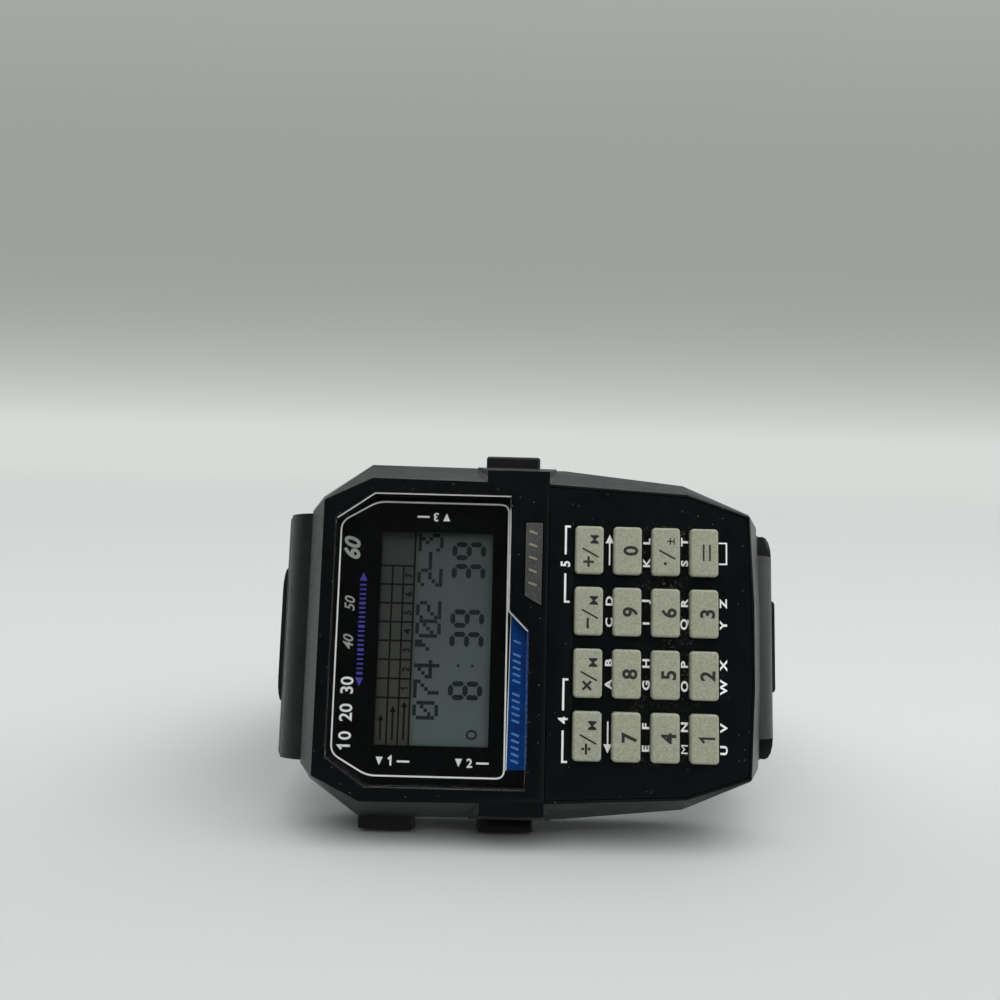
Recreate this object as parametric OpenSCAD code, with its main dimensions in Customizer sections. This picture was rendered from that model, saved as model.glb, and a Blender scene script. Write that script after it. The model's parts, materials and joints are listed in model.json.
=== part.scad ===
// Digital watch with a sixteen-key calculator pad, lying on its side with the strap closed.
// Working frame: x runs from 12 o'clock to 6 o'clock, y is the depth behind the face, and
// z points at 3 o'clock. stand() leans the watch back onto its two lower buttons and its strap.

/* [Case] */
// Length of the case from the 12 o'clock end to the 6 o'clock end
case_len = 48.4; // [47:0.1:54]
// Width of the case at its widest, without the buttons
case_w = 37.1; // [36:0.1:42]
// Depth of the case from the face to the seat of the back cover
case_depth = 9.4; // [9.3:0.1:11]
// Width of the flat end at 12 o'clock
end_12_w = 26.6; // [26:0.1:28]
// Width of the flat end at 6 o'clock
end_6_w = 25.4; // [25:0.1:26.5]
// Length of each slanted corner at 12 o'clock
corner_12_len = 6.3; // [5.8:0.1:7]
// Length of each slanted corner at 6 o'clock
corner_6_len = 8.3; // [7.5:0.1:9]
// How much each side of the keypad end draws in before its slanted corner
keypad_taper = 1.45; // [1:0.05:1.7]
// Width of the bevel along the sides, seen from the front
bevel_side = 1.9; // [1.6:0.05:2.1]
// Width of the bevel at 12 o'clock
bevel_12 = 1.7; // [1.4:0.05:2]
// Width of the bevel at 6 o'clock
bevel_6 = 1.3; // [1:0.05:1.6]
// Depth at which the bevel ends
bevel_depth = 3; // [2.6:0.1:3.2]
// Thickness of the side walls
side_wall = 3.35; // [3.2:0.05:3.6]
// Distance from the 12 o'clock end to the inside of the case
end_wall_12 = 6.2; // [6.2:0.05:6.4]
// Distance from the 6 o'clock end to the inside of the case
end_wall_6 = 5.8; // [5.7:0.05:6]
// Radius of the corner bosses that take the back cover's screws
boss_r = 1.6; // [1.5:0.05:1.7]

/* [Cross band] */
// Width of the band between the display and the keypad
band_w = 6.6; // [6.2:0.1:7]
// Half the band's height where it meets the face
band_half = 17.8; // [17.4:0.05:18.1]
// Distance from the glass to the band's far edge
band_reach = 3.9; // [3.7:0.05:4.2]

/* [Display] */
// Distance from the 12 o'clock end to the glass
glass_from_end = 3; // [2.9:0.05:3.2]
// Length of the glass along the watch
glass_len = 18.6; // [18.5:0.05:18.8]
// Width of the glass across the watch
glass_w = 30.4; // [30:0.1:30.8]
// Length of the glass's slanted corners
glass_corner = 4; // [3:0.1:4.5]
// Width of the glass's tongue that covers the coloured plate
tongue_w = 2.05; // [1.9:0.05:2.15]
// Height above the centre line where the tongue starts
tongue_top = 1; // [0:0.1:1.5]
// Thickness of the glass
glass_th = 1.55; // [1.4:0.05:1.7]
// Depth of the glass's front below the face
glass_sink = 0.1; // [0:0.05:0.2]
// Thickness of the glass gasket, of the mask and of the coloured plate
seal_th = 0.24; // [0.2:0.02:0.3]
// Thickness of the ledge that carries the glass
ledge_th = 0.55; // [0.5:0.05:0.7]
// Length of the display window along the watch
window_len = 11.83; // [11.4:0.05:11.9]
// Width of the display window across the watch
window_w = 22.2; // [21:0.1:22.4]
// Distance from the glass's 12 o'clock edge to the window
window_from_glass = 4.84; // [4.8:0.05:5]
// Thickness of the liquid crystal cell
lcd_th = 1.2; // [1:0.05:1.3]
// Thickness of the reflecting sheet behind the cell
reflector_th = 0.1; // [0.08:0.01:0.12]
// Thickness of the backlight panel
backlight_th = 0.45; // [0.4:0.05:0.5]

/* [Keypad] */
// Distance between key centres along the watch
key_pitch_x = 4; // [3.9:0.05:4.2]
// Distance between key centres across the watch
key_pitch_z = 6.356; // [6:0.02:6.4]
// Length of a key along the watch
key_l = 2.95; // [2.7:0.05:3]
// Width of a key across the watch
key_w = 5; // [4.6:0.05:5.1]
// Corner radius of a key
key_r = 0.4; // [0.2:0.05:0.6]
// Height of a key above the face
key_rise = 0.75; // [0.5:0.05:1]
// Width of the flange that holds a key in
key_flange = 0.25; // [0.2:0.05:0.3]
// Thickness of that flange
flange_th = 0.45; // [0.4:0.05:0.5]
// Travel of a key
key_travel = 0.55; // [0.4:0.05:0.6]
// Distance from the 6 o'clock end to the centre of the last row of keys
last_row_from_end = 6.65; // [6.6:0.05:7]
// Thickness of the printed keypad panel
panel_th = 1.3; // [1.1:0.05:1.4]
// Thickness of the ledge under the panel
panel_ledge_th = 0.8; // [0.6:0.05:0.9]
// Width of the case's rim around the panel
panel_rim = 0.25; // [0.2:0.05:0.35]
// Radius of a key's plunger
plunger_r = 0.75; // [0.6:0.05:0.8]
// Wall of a rubber collar on the key mat
collar_wall = 0.35; // [0.3:0.05:0.4]
// Thickness of the key mat
mat_th = 0.7; // [0.6:0.05:0.8]
// Half the key mat's width
mat_half = 11.1; // [10.9:0.05:11.2]

/* [Light button] */
// Width of the front light button
light_w = 1.78; // [1.5:0.05:1.85]
// Height of its top end above the centre line
light_top = 12.28; // [11.5:0.1:12.5]
// Height of its slanted lower end above the centre line
light_bottom = 4.1; // [4:0.05:5]
// How far the light button stands out of the face
light_rise = 0.15; // [0.05:0.05:0.3]

/* [Side buttons] */
// Width of a side button along the case
side_button_w = 5.95; // [5.6:0.05:6.1]
// Height of a side button through the case's depth
side_button_h = 2.6; // [2.3:0.05:2.7]
// Depth of the side buttons' centre line
side_button_y = 5.5; // [5.4:0.05:5.6]
// How far a side button stands out of the case
side_button_out = 1.55; // [1.2:0.05:1.8]
// Travel of a side button
side_travel = 0.8; // [0.6:0.05:0.9]
// Radius of a side button's stem
stem_r = 0.8; // [0.7:0.05:0.85]
// Distance from the 12 o'clock end to the centre of the adjust button
adjust_from_end = 9.1; // [9.05:0.05:9.3]
// Offset of the adjust button's stem from its centre
adjust_stem_shift = 1.6; // [1.5:0.05:1.7]

/* [Inside] */
// Thickness of the circuit board
board_th = 0.8; // [0.6:0.05:0.85]
// Diameter of the battery
battery_d = 20; // [19:0.1:20.2]
// Thickness of the battery
battery_th = 1.6; // [1.4:0.05:1.65]
// Distance from the 12 o'clock end to the battery's centre
battery_from_end = 17; // [16.9:0.1:17.4]
// Diameter of the buzzer disc
buzzer_d = 14.8; // [13:0.1:15]
// Distance from the 6 o'clock end to the buzzer's centre
buzzer_from_end = 16; // [15.9:0.1:17]

/* [Back cover] */
// Thickness of the back cover
cover_th = 1; // [0.9:0.05:1.3]
// Overlap of the back cover around the inside of the case
cover_lap = 1.2; // [1:0.05:1.25]
// Radius of the back cover's screw shanks
screw_r = 0.6; // [0.5:0.05:0.65]
// Radius of the screws' heads
screw_head_r = 1.15; // [1:0.05:1.2]
// Height of the raised rim behind the cover's edge that keeps the gasket in place
spigot_h = 0.5; // [0.4:0.05:0.55]
// Draw-in of the case at its rear edge
rear_inset = 1.8; // [1.4:0.1:1.9]
// Depth at which that draw-in starts
rear_start = 7.6; // [7.5:0.05:7.8]

/* [Strap] */
// Thickness of the strap
strap_th = 2.6; // [2.4:0.05:2.7]
// Width of the 12 o'clock strap at the case
strap_12_w = 26.2; // [26:0.05:26.3]
// Width of the 6 o'clock strap at the case
strap_6_w = 24.4; // [23.5:0.1:24.6]
// Width of both straps behind the wrist
strap_back_w = 18; // [16:0.1:18.2]
// Depth of the spring bars behind the face
hinge_y = 7.2; // [7.15:0.05:7.3]
// Distance of the 12 o'clock spring bar from that end of the case
hinge_12_in = 0.8; // [0.7:0.05:0.9]
// Distance of the 6 o'clock spring bar from that end of the case
hinge_6_in = 1.2; // [1.1:0.05:1.3]
// How far the closed strap flares beyond the 12 o'clock spring bar
flare_12 = 4.05; // [3.9:0.05:4.2]
// How far the closed strap flares beyond the 6 o'clock spring bar
flare_6 = 3.7; // [3.6:0.05:3.8]
// Depth of the closed strap's widest place
loop_mid = 20; // [19:0.5:22]
// Distance from there to the middle of the strap behind the wrist
loop_reach = 28; // [26:0.5:31]
// Squareness of the closed strap, where 2 is an ellipse
loop_power = 2.6; // [2.5:0.05:2.7]
// Height of the 12 o'clock strap's centre rib
rib_12_h = 0.45; // [0.3:0.05:0.7]
// Height of the 6 o'clock strap's centre rib
rib_6_h = 0.35; // [0.25:0.05:0.5]
// Width of the centre ribs
rib_w = 12.2; // [10:0.1:12.5]
// How much wider the 12 o'clock rib is at its foot, and narrower at its top
rib_flare = 2.6; // [1:0.1:3]
// Width over which the 6 o'clock strap's edges roll off, at the case
shoulder = 2.4; // [1.5:0.1:3]
// Rounding of the straps' other edges
strap_edge = 0.3; // [0.1:0.05:0.4]
// Distance that the free end of the strap stands off the buckle end
tail_lift = 7; // [6.5:0.1:8]
// Radius of the spring bars
bar_r = 0.75; // [0.6:0.05:0.8]
// Thickness that the 6 o'clock strap's lower edges step down by
strap_step = 0.9; // [0.7:0.05:1]
// Number of holes in the free end
hole_count = 8; // [4:1:8]
// Distance between those holes
hole_pitch = 4.4; // [4:0.1:4.6]

/* [Buckle] */
// Distance of the buckle pin from the middle of the strap
buckle_pin_x = 3; // [1:0.5:4]
// Length of the buckle frame from its pin to the far bar's outer edge
frame_len = 12.6; // [11.5:0.1:13]
// Thickness of the buckle frame
frame_th = 1.6; // [1.4:0.05:1.8]
// Width of each of the frame's arms
frame_arm = 1.1; // [1:0.05:1.3]
// Width of the tongue
tongue_pin_w = 2.2; // [1.6:0.1:2.4]
// Inward tilt of the resting buckle, in degrees
buckle_tilt = 8; // [6:0.5:10]
// Length of the keeper along the strap
keeper_len = 4; // [3:0.1:5]
// Wall of the keeper
keeper_wall = 0.9; // [0.8:0.05:1.1]

/* [Hidden] */
$fn = 48;

// Clearances shared by every fit
seat_gap = 0.04;
slide_gap = 0.1;
inner_gap = 0.2;
run_gap = 0.05;
skin = 0.01;

// Ends and half widths of the case
x12 = -case_len / 2;
x6 = case_len / 2;
half_w = case_w / 2;
half_12 = end_12_w / 2;
half_6 = end_6_w / 2;

// Positions along the watch
glass_x0 = x12 + glass_from_end;
glass_x1 = glass_x0 + glass_len;
tongue_x1 = glass_x1 + tongue_w;
tag_bottom = 13.3;
band_x1 = glass_x1 + band_reach;
band_x0 = band_x1 - band_w;
window_x0 = glass_x0 + window_from_glass;
window_x1 = window_x0 + window_len;
light_x1 = band_x1 - 0.65;
light_x0 = light_x1 - light_w;
last_row_x = x6 - last_row_from_end;
first_row_x = last_row_x - 3 * key_pitch_x;

// Depths, front to back
glass_back = glass_sink + glass_th;
seal_y0 = glass_back + seat_gap;
ledge_y0 = seal_y0 + seal_th + seat_gap;
roof_th = ledge_y0 + ledge_th;
lcd_y0 = roof_th + run_gap;
lcd_y1 = lcd_y0 + lcd_th;
reflector_y0 = lcd_y1 + seat_gap;
backlight_y0 = reflector_y0 + reflector_th + seat_gap;
board_y0 = backlight_y0 + backlight_th + slide_gap;
board_y1 = board_y0 + board_th;
flange_y0 = panel_th + run_gap;
flange_y1 = flange_y0 + flange_th;
mat_y1 = board_y0 - seat_gap;
mat_y0 = mat_y1 - mat_th;
collar_y0 = flange_y1 + key_travel + slide_gap;
plunger_y1 = mat_y0 - key_travel - run_gap;
parts_y0 = board_y1 + seat_gap;
holder_y0 = board_y1 + run_gap;
tray_y = parts_y0 + 1.05;
battery_y1 = case_depth - 0.8;
battery_y0 = battery_y1 - battery_th;
holder_y1 = battery_y1 + slide_gap;
clip_y0 = holder_y1 + seat_gap;
clip_th = 0.18;
insulator_y0 = clip_y0 + clip_th + seat_gap;
buzzer_y1 = case_depth - 0.02;
buzzer_th = 0.3;
cover_y1 = case_depth + cover_th;
spigot_y0 = case_depth - spigot_h;
opening_y1 = roof_th + skin;

// Inside of the case
cavity_half = half_w - side_wall;
cavity_x0 = x12 + end_wall_12;
cavity_x1 = x6 - end_wall_6;
upper_x1 = cavity_x1 + 1;
cavity_half_6 = cavity_half - 2.3;
cavity_turn = cavity_x1 - 6.4;
boss_12 = [cavity_x0 + 1.4, cavity_half - 1.3];
boss_6 = [cavity_x1 - 1.5, cavity_half_6];
bosses = [boss_12, [boss_12[0], -boss_12[1]], boss_6, [boss_6[0], -boss_6[1]]];

// Side buttons: stem positions, and which way each one faces
side_out = half_w + side_button_out;
recess_z = half_w - 1.85;
head_z0 = recess_z + side_travel + slide_gap;
adjust_x = x12 + adjust_from_end;
adjust_stem_x = adjust_x + adjust_stem_shift;
mode_x = band_x0 + band_w / 2 - 0.55;
stem_end = cavity_half - 1;
clip_r = 1.2;
clip_z0 = cavity_half - 0.5;
seal_z0 = cavity_half + 0.05;
seal_len = 0.75;
contact_z = stem_end - side_travel - 0.25;
notch_z = contact_z - 0.3;
notch_w = 3;
stems = [[adjust_stem_x, -1], [mode_x, -1], [mode_x, 1]];
contact_w = 2.4;
contact_foot = 1.5;
contact_foot_th = 0.16;
contact_blade_th = 0.2;
blade_relief_y = parts_y0 + contact_foot_th + inner_gap;

// Battery, buzzer and module screws
battery_x = x12 + battery_from_end;
clip_half = battery_d / 2 + 1.1;
clip_w = 4;
chip_x = 4;
chip_z = 2;
chip_r = 3.2;
insulator_half = 9;
insulator_x0 = cavity_x0 + 2.1;
insulator_x1 = battery_x + 8.5;
buzzer_x = x6 - buzzer_from_end;
lcd_x0 = window_x0 - 0.64;
lcd_x1 = window_x1 + 0.5;
lcd_half = window_w / 2 + 0.5;
frame_x1 = x6 - 9.2;
mat_x0 = light_x0 - 0.75;
mat_x1 = last_row_x + plunger_r + collar_wall + 0.45;
screw_z = cavity_half - 1.6;
screw_spots = [for (x = [battery_x - 0.3, first_row_x + 4.5], side = [-1, 1]) [x, side * screw_z]];
opening_x0 = glass_x0 + 3.3;
opening_x1 = glass_x1 - 1.1;
opening_half = glass_w / 2 - 2;

// The closed strap follows a superellipse, given by the direction of its outward normal
hinge_12_x = x12 + hinge_12_in;
hinge_6_x = x6 - hinge_6_in;
loop_12 = flare_12 - hinge_12_x;
loop_6 = flare_6 + hinge_6_x;
conjugate = loop_power / (loop_power - 1);
function side_reach(phi) = cos(phi) >= 0 ? loop_6 : loop_12;
function spread(phi) = pow(side_reach(phi) * abs(cos(phi)), conjugate)
    + pow(loop_reach * abs(sin(phi)), conjugate);
function normal(phi) = [cos(phi), sin(phi)];
function on_loop(phi, off) = let (scale_up = pow(spread(phi), 1 / conjugate - 1)) [
    sign(cos(phi)) * pow(side_reach(phi), conjugate) * pow(abs(cos(phi)), conjugate - 1) * scale_up
        + off * cos(phi),
    loop_mid + sign(sin(phi)) * pow(loop_reach, conjugate) * pow(abs(sin(phi)), conjugate - 1)
        * scale_up + off * sin(phi)
];
// Direction of the normal where the loop's right half passes a given x, and a given depth
function phi_at_x(x, reach) = let (
    u = abs(x) / reach,
    v = pow(1 - pow(u, loop_power), 1 / loop_power))
    atan2(pow(v, loop_power - 1) / loop_reach, pow(u, loop_power - 1) / reach);
function phi_at_hinge(reach) = let (
    v = (loop_mid - hinge_y) / loop_reach,
    u = pow(1 - pow(v, loop_power), 1 / loop_power))
    -atan2(pow(v, loop_power - 1) / loop_reach, pow(u, loop_power - 1) / reach);
phi_6 = phi_at_hinge(loop_6);
phi_12 = 180 - phi_at_hinge(loop_12);
phi_pin = phi_at_x(buckle_pin_x, loop_6);
phi_keeper = 124;
phi_tail = 112;
// Lift of the free end, rising smoothly from the side of the wrist to the buckle
function rise(t) = t <= 0 ? 0 : t >= 1 ? 1 : t * t * (3 - 2 * t);
function tail_off(phi) = tail_lift * rise((phi - 15) / 55);
// Reach of a strap's outer face from its spring bar, which sets the radius of its end
function end_reach(phi, hinge) = (on_loop(phi, strap_th / 2) - hinge) * normal(phi);
hinge_12 = [hinge_12_x, hinge_y];
hinge_6 = [hinge_6_x, hinge_y];
end_r_12 = end_reach(phi_12, hinge_12);
end_r_6 = end_reach(phi_6, hinge_6);
tube_r = 2.1;
strap_half_12 = strap_12_w / 2;
strap_half_6 = strap_6_w / 2;
strap_half_back = strap_back_w / 2;
cheek_gap = 0.15;
tip_r = 0.45;
tip_len = 0.8;

// Buckle, in a frame at its pin: u runs along the frame, v points away from the wrist
pin_at = on_loop(phi_pin, 0);
pin_r = 0.75;
arm_in = strap_half_back + 0.3;
arm_out = arm_in + frame_arm;
far_bar = 1.6;
frame_turn = phi_pin - 90 - buckle_tilt;

// Lean of the watch, resting on the rear edges of its lower buttons and on its free end
tail_back_y = max([for (phi = [60:1:phi_tail]) on_loop(phi, tail_off(phi) + strap_th / 2)[1]]);
tail_edge_y = tail_back_y - strap_step;
button_back_y = side_button_y + side_button_h / 2;
lean = atan((side_out - strap_half_back) / (tail_edge_y - button_back_y));
lift = side_out * cos(lean) + button_back_y * sin(lean);
left_x = min([for (phi = [150:1:195]) on_loop(phi, strap_th / 2 + rib_12_h)[0]]);
rib_6_end = 34;
rib_12_end = 150;
rib_start = 4;
right_x = max([for (phi = [-12:1:60])
    on_loop(phi, tail_off(phi) + strap_th / 2 + (phi > rib_6_end ? 0 : rib_6_h))[0]]);
mid_x = (left_x + right_x) / 2;
front_y = -band_half * sin(lean);
back_y = tail_back_y * cos(lean) + (strap_half_back - shoulder / 2) * sin(lean);
mid_y = (front_y + back_y) / 2;
keeper_at = on_loop(phi_keeper, 0);
echo(lean = lean, lift = lift, mid_x = mid_x, mid_y = mid_y);
echo(pin_at = pin_at, keeper_at = keeper_at, phi_pin = phi_pin);

resin = [0.11, 0.12, 0.13];
resin_light = [0.16, 0.17, 0.18];
steel = [0.72, 0.73, 0.74];
brass = [0.75, 0.6, 0.3];

// Placing and shaping helpers

module stand() {
    translate([-mid_x, -mid_y, lift]) rotate([-lean, 0, 0]) children();
}

// A flat shape in x and z, extruded through the depth
module through(y0, y1) {
    translate([0, y1, 0]) rotate([90, 0, 0]) linear_extrude(y1 - y0) children();
}

// A round rod along the depth
module rod_y(x, z, r, y0, y1) {
    translate([x, y0, z]) rotate([-90, 0, 0]) cylinder(h = y1 - y0, r = r);
}

// A round rod across the watch, centred on z = 0
module rod_z(at, r, length) {
    translate([at[0], at[1], 0]) cylinder(h = length, r = r, center = true);
}

module round_rect(l, w, r) {
    square([l - 2 * r, w], center = true);
    square([l, w - 2 * r], center = true);
    for (sx = [-1, 1], sz = [-1, 1])
        translate([sx * (l / 2 - r), sz * (w / 2 - r)]) circle(r = r);
}

module box_xz(x0, x1, z0, z1) {
    translate([x0, z0]) square([x1 - x0, z1 - z0]);
}

// Both halves of an outline that is given for z above zero, from 12 o'clock to 6 o'clock
function mirrored(half) = concat(half, [for (i = [len(half) - 1:-1:0]) [half[i][0], -half[i][1]]]);

// Case outlines

outer_outline = mirrored([
    [x12, half_12], [x12 + 1.1, half_12 + 1.6], [x12 + corner_12_len, half_w],
    [band_x1 + 1.8, half_w - 0.15], [x6 - corner_6_len, half_w - keypad_taper],
    [x6 - 1.1, half_6 + 1.4], [x6 - 0.3, half_6], [x6, half_6 / 3]
]);

face_outline = mirrored([
    [x12 + bevel_12, half_12 + 0.9], [x12 + corner_12_len + 0.4, half_w - bevel_side],
    [band_x1, half_w - bevel_side - 0.2],
    [x6 - corner_6_len - 0.1, half_w - keypad_taper - bevel_side + 0.5],
    [x6 - bevel_6 - 0.4, half_6 + 0.8], [x6 - bevel_6, half_6 / 3]
]);

module cavity_shape(inset, x1 = cavity_x1) {
    polygon(mirrored([
        [cavity_x0 + inset, cavity_half - inset], [cavity_turn, cavity_half - inset],
        [x1 - inset, cavity_half_6 + 0.3 - inset]
    ]));
}

// Outline of the inside of the case between the bosses
module between_bosses(inset) {
    corner = 6;
    shift = corner / 2 - boss_r - inset;
    difference() {
        cavity_shape(inset);
        for (b = bosses)
            translate(b + shift * [sign(b[0]), sign(b[1])]) square(corner, center = true);
    }
}

// Outline of a piece of the module, clear of the bosses and the button stems
module inner_shape(inset) {
    difference() {
        between_bosses(inset);
        for (s = stems) translate([s[0], s[1] * (notch_z + 3)]) square([notch_w, 6], center = true);
    }
}

// The same, up to a given place along the watch
module inner_part(inset, x1) {
    intersection() {
        inner_shape(inset);
        box_xz(x12, x1, -half_w, half_w);
    }
}

function glass_outline(inset) = [
    [glass_x0 + inset, glass_corner * 0.7 - glass_w / 2 + inset * 0.4],
    [glass_x0 + inset, glass_w / 2 - glass_corner * 0.7 - inset * 0.4],
    [glass_x0 + glass_corner + inset * 0.4, glass_w / 2 - inset], [glass_x1 - inset, glass_w / 2 - inset],
    [glass_x1 - inset, tongue_top + tongue_w - inset * 0.4], [tongue_x1 - inset, tongue_top - inset * 0.4],
    [tongue_x1 - inset, inset - glass_w / 2], [glass_x0 + glass_corner + inset * 0.4, inset - glass_w / 2]
];

module accent_shape(grow) {
    polygon([
        [glass_x1 + 0.1 - grow, tongue_top + tongue_w - 0.15 + grow],
        [tongue_x1 - 0.1 + 4 * grow, tongue_top - 0.1 + grow],
        [tongue_x1 - 0.1 + 4 * grow, -tag_bottom - grow], [glass_x1 - 0.15 - grow, -tag_bottom - grow]
    ]);
}

module light_shape(grow) {
    polygon([
        [light_x0 - grow, light_bottom + 0.5 - grow], [light_x1 + grow, light_bottom - 0.5 - grow * 2],
        [light_x1 + grow, light_top + grow], [light_x0 - grow, light_top + grow]
    ]);
}

module panel_shape(inset) {
    intersection() {
        offset(delta = -panel_rim - inset) polygon(face_outline);
        box_xz(band_x1 + inset, x6, -half_w, half_w);
    }
}

// Opening under the panel, round all the keys' flanges
module keypad_opening() {
    margin = key_flange + 0.55;
    box_xz(first_row_x - key_l / 2 - margin, last_row_x + key_l / 2 + margin,
        -1.5 * key_pitch_z - key_w / 2 - margin, 1.5 * key_pitch_z + key_w / 2 + margin);
}

module at_each_key() {
    for (row = [0:3], column = [0:3])
        translate([first_row_x + row * key_pitch_x, (column - 1.5) * key_pitch_z]) children();
}

// Case

module case_shell() {
    hull() {
        through(0, skin) polygon(face_outline);
        through(bevel_depth - skin, rear_start) polygon(outer_outline);
        through(case_depth - skin, case_depth) offset(delta = -rear_inset) polygon(outer_outline);
    }
    hull() {
        through(0, skin) box_xz(band_x0, band_x1, -band_half, band_half);
        through(2.2, 2.4) box_xz(band_x0 - 1.1, band_x1 + 0.8, -half_w + 0.1, half_w - 0.1);
    }
}

module strap_grooves() {
    rod_z(hinge_12, end_r_12 + cheek_gap, strap_12_w + 2 * cheek_gap);
    rod_z(hinge_6, end_r_6 + cheek_gap, strap_6_w + 2 * cheek_gap);
    rod_z(hinge_12, tip_r + run_gap, strap_12_w + 2 * cheek_gap + 1.6);
    rod_z(hinge_6, tip_r + run_gap, strap_6_w + 2 * cheek_gap + 1.6);
}

module side_button_holes() {
    for (s = stems) {
        head_x = s[0] == adjust_stem_x ? adjust_x : s[0];
        translate([head_x, side_button_y, s[1] * (recess_z + 5)])
            cube([side_button_w + 2 * slide_gap, side_button_h + 2 * slide_gap, 10], center = true);
        translate([s[0], side_button_y, s[1] * (recess_z - 1)])
            cylinder(h = 6, r = stem_r + run_gap, center = true);
        translate([s[0], side_button_y, s[1] * (cavity_half + 0.4)])
            cylinder(h = 1, r = stem_r + 0.6, center = true);
    }
}

module case_body() color(resin) stand() {
    difference() {
        union() {
            difference() {
                case_shell();
                through(roof_th, board_y0) cavity_shape(0, upper_x1);
                through(roof_th, case_depth + 1) cavity_shape(0);
            }
            for (b = bosses) rod_y(b[0], b[1], boss_r, roof_th - 0.3, case_depth - 0.1);
        }
        for (b = bosses) rod_y(b[0], b[1], screw_r + 0.02, case_depth - 4, case_depth);
        through(-1, ledge_y0) polygon(glass_outline(-seat_gap));
        through(0, opening_y1) box_xz(opening_x0, opening_x1, -opening_half, opening_half);
        through(-1, panel_th + seat_gap) panel_shape(0);
        through(0, opening_y1) keypad_opening();
        through(-1, opening_y1) light_shape(slide_gap);
        strap_grooves();
        side_button_holes();
    }
}

module keypad_panel() color(resin_light) stand() {
    through(0, panel_th) difference() {
        panel_shape(seat_gap * 2);
        at_each_key() round_rect(key_l + 2 * slide_gap, key_w + 2 * slide_gap, key_r);
    }
}

// Display

module crystal() color([0.35, 0.4, 0.42, 0.4]) stand() {
    through(glass_sink, glass_back) polygon(glass_outline(0));
}

module crystal_gasket() color([0.08, 0.08, 0.08]) stand() {
    through(seal_y0, seal_y0 + seal_th) difference() {
        polygon(glass_outline(0.1));
        box_xz(opening_x0, opening_x1, -opening_half, opening_half);
        accent_shape(0.08);
    }
}

module accent_plate() color([0.08, 0.27, 0.6]) stand() {
    through(seal_y0, seal_y0 + seal_th) accent_shape(0);
}

module display_mask() color([0.03, 0.03, 0.03]) stand() {
    through(seal_y0, seal_y0 + seal_th) difference() {
        box_xz(opening_x0 + 0.1, opening_x1 - 0.1, 0.1 - opening_half, opening_half - 0.1);
        box_xz(window_x0, window_x1, -window_w / 2, window_w / 2);
    }
}

module lcd_cell() color([0.4, 0.46, 0.42]) stand() {
    through(lcd_y0, lcd_y0 + lcd_th / 2) box_xz(lcd_x0 + 0.3, lcd_x1, -lcd_half, lcd_half);
    through(lcd_y0 + lcd_th / 2, lcd_y1) box_xz(lcd_x0, lcd_x1, -lcd_half, lcd_half);
}

module lcd_reflector() color([0.7, 0.72, 0.7]) stand() {
    through(reflector_y0, reflector_y0 + reflector_th)
        box_xz(lcd_x0 + 1.6, lcd_x1 - 0.2, 0.2 - lcd_half, lcd_half - 0.2);
}

module backlight_panel() color([0.6, 0.75, 0.7]) stand() {
    through(backlight_y0, backlight_y0 + backlight_th)
        box_xz(lcd_x0 + 1.6, lcd_x1 - 1.6, 0.4 - lcd_half, lcd_half - 0.4);
}

// Two rubber strips between the cell's lower rim and the board
module connector_strips() color([0.5, 0.5, 0.55]) stand() {
    through(lcd_y1 + seat_gap, board_y0 - seat_gap) {
        box_xz(lcd_x0 + 0.1, lcd_x0 + 1.4, 0.6 - lcd_half, lcd_half - 0.6);
    }
    through(backlight_y0, board_y0 - seat_gap) {
        box_xz(lcd_x1 - 1.4, lcd_x1 - 0.1, 0.6 - lcd_half, lcd_half - 0.6);
    }
}

module module_frame() color([0.85, 0.85, 0.8]) stand() {
    difference() {
        through(lcd_y0, board_y0 - seat_gap) difference() {
            inner_part(inner_gap, frame_x1);
            box_xz(lcd_x0 - slide_gap, lcd_x1 + slide_gap, -lcd_half - slide_gap, lcd_half + slide_gap);
            box_xz(mat_x0 - slide_gap, mat_x1 + slide_gap, -mat_half - slide_gap, mat_half + slide_gap);
            for (p = screw_spots) translate(p) circle(r = 0.42);
        }
        through(0, mat_y0 + slide_gap) light_shape(0.5);
    }
}

// Keys

module key(row, column) color([0.78, 0.77, 0.7]) stand() {
    x = first_row_x + row * key_pitch_x;
    z = (column - 1.5) * key_pitch_z;
    through(-key_rise, flange_y0) translate([x, z]) round_rect(key_l, key_w, key_r);
    through(flange_y0, flange_y1) translate([x, z])
        round_rect(key_l + 2 * key_flange, key_w + 2 * key_flange, key_r);
    rod_y(x, z, plunger_r, flange_y1, plunger_y1);
}

module key_mat() color([0.3, 0.3, 0.32]) stand() {
    through(mat_y0, mat_y1) box_xz(mat_x0, mat_x1, -mat_half, mat_half);
    difference() {
        through(collar_y0, mat_y0 + skin) at_each_key() circle(r = plunger_r + 0.2 + collar_wall);
        through(collar_y0 - 1, mat_y0) at_each_key() circle(r = plunger_r + 0.2);
    }
}

module light_button() color([0.42, 0.43, 0.44]) stand() {
    through(-light_rise, roof_th + run_gap) light_shape(0);
    through(roof_th + run_gap, roof_th + run_gap + flange_th) light_shape(0.3);
    rod_y((light_x0 + light_x1) / 2, (light_top + light_bottom) / 2, 0.6,
        roof_th + run_gap + flange_th, mat_y0 - key_travel - run_gap);
}

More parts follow.
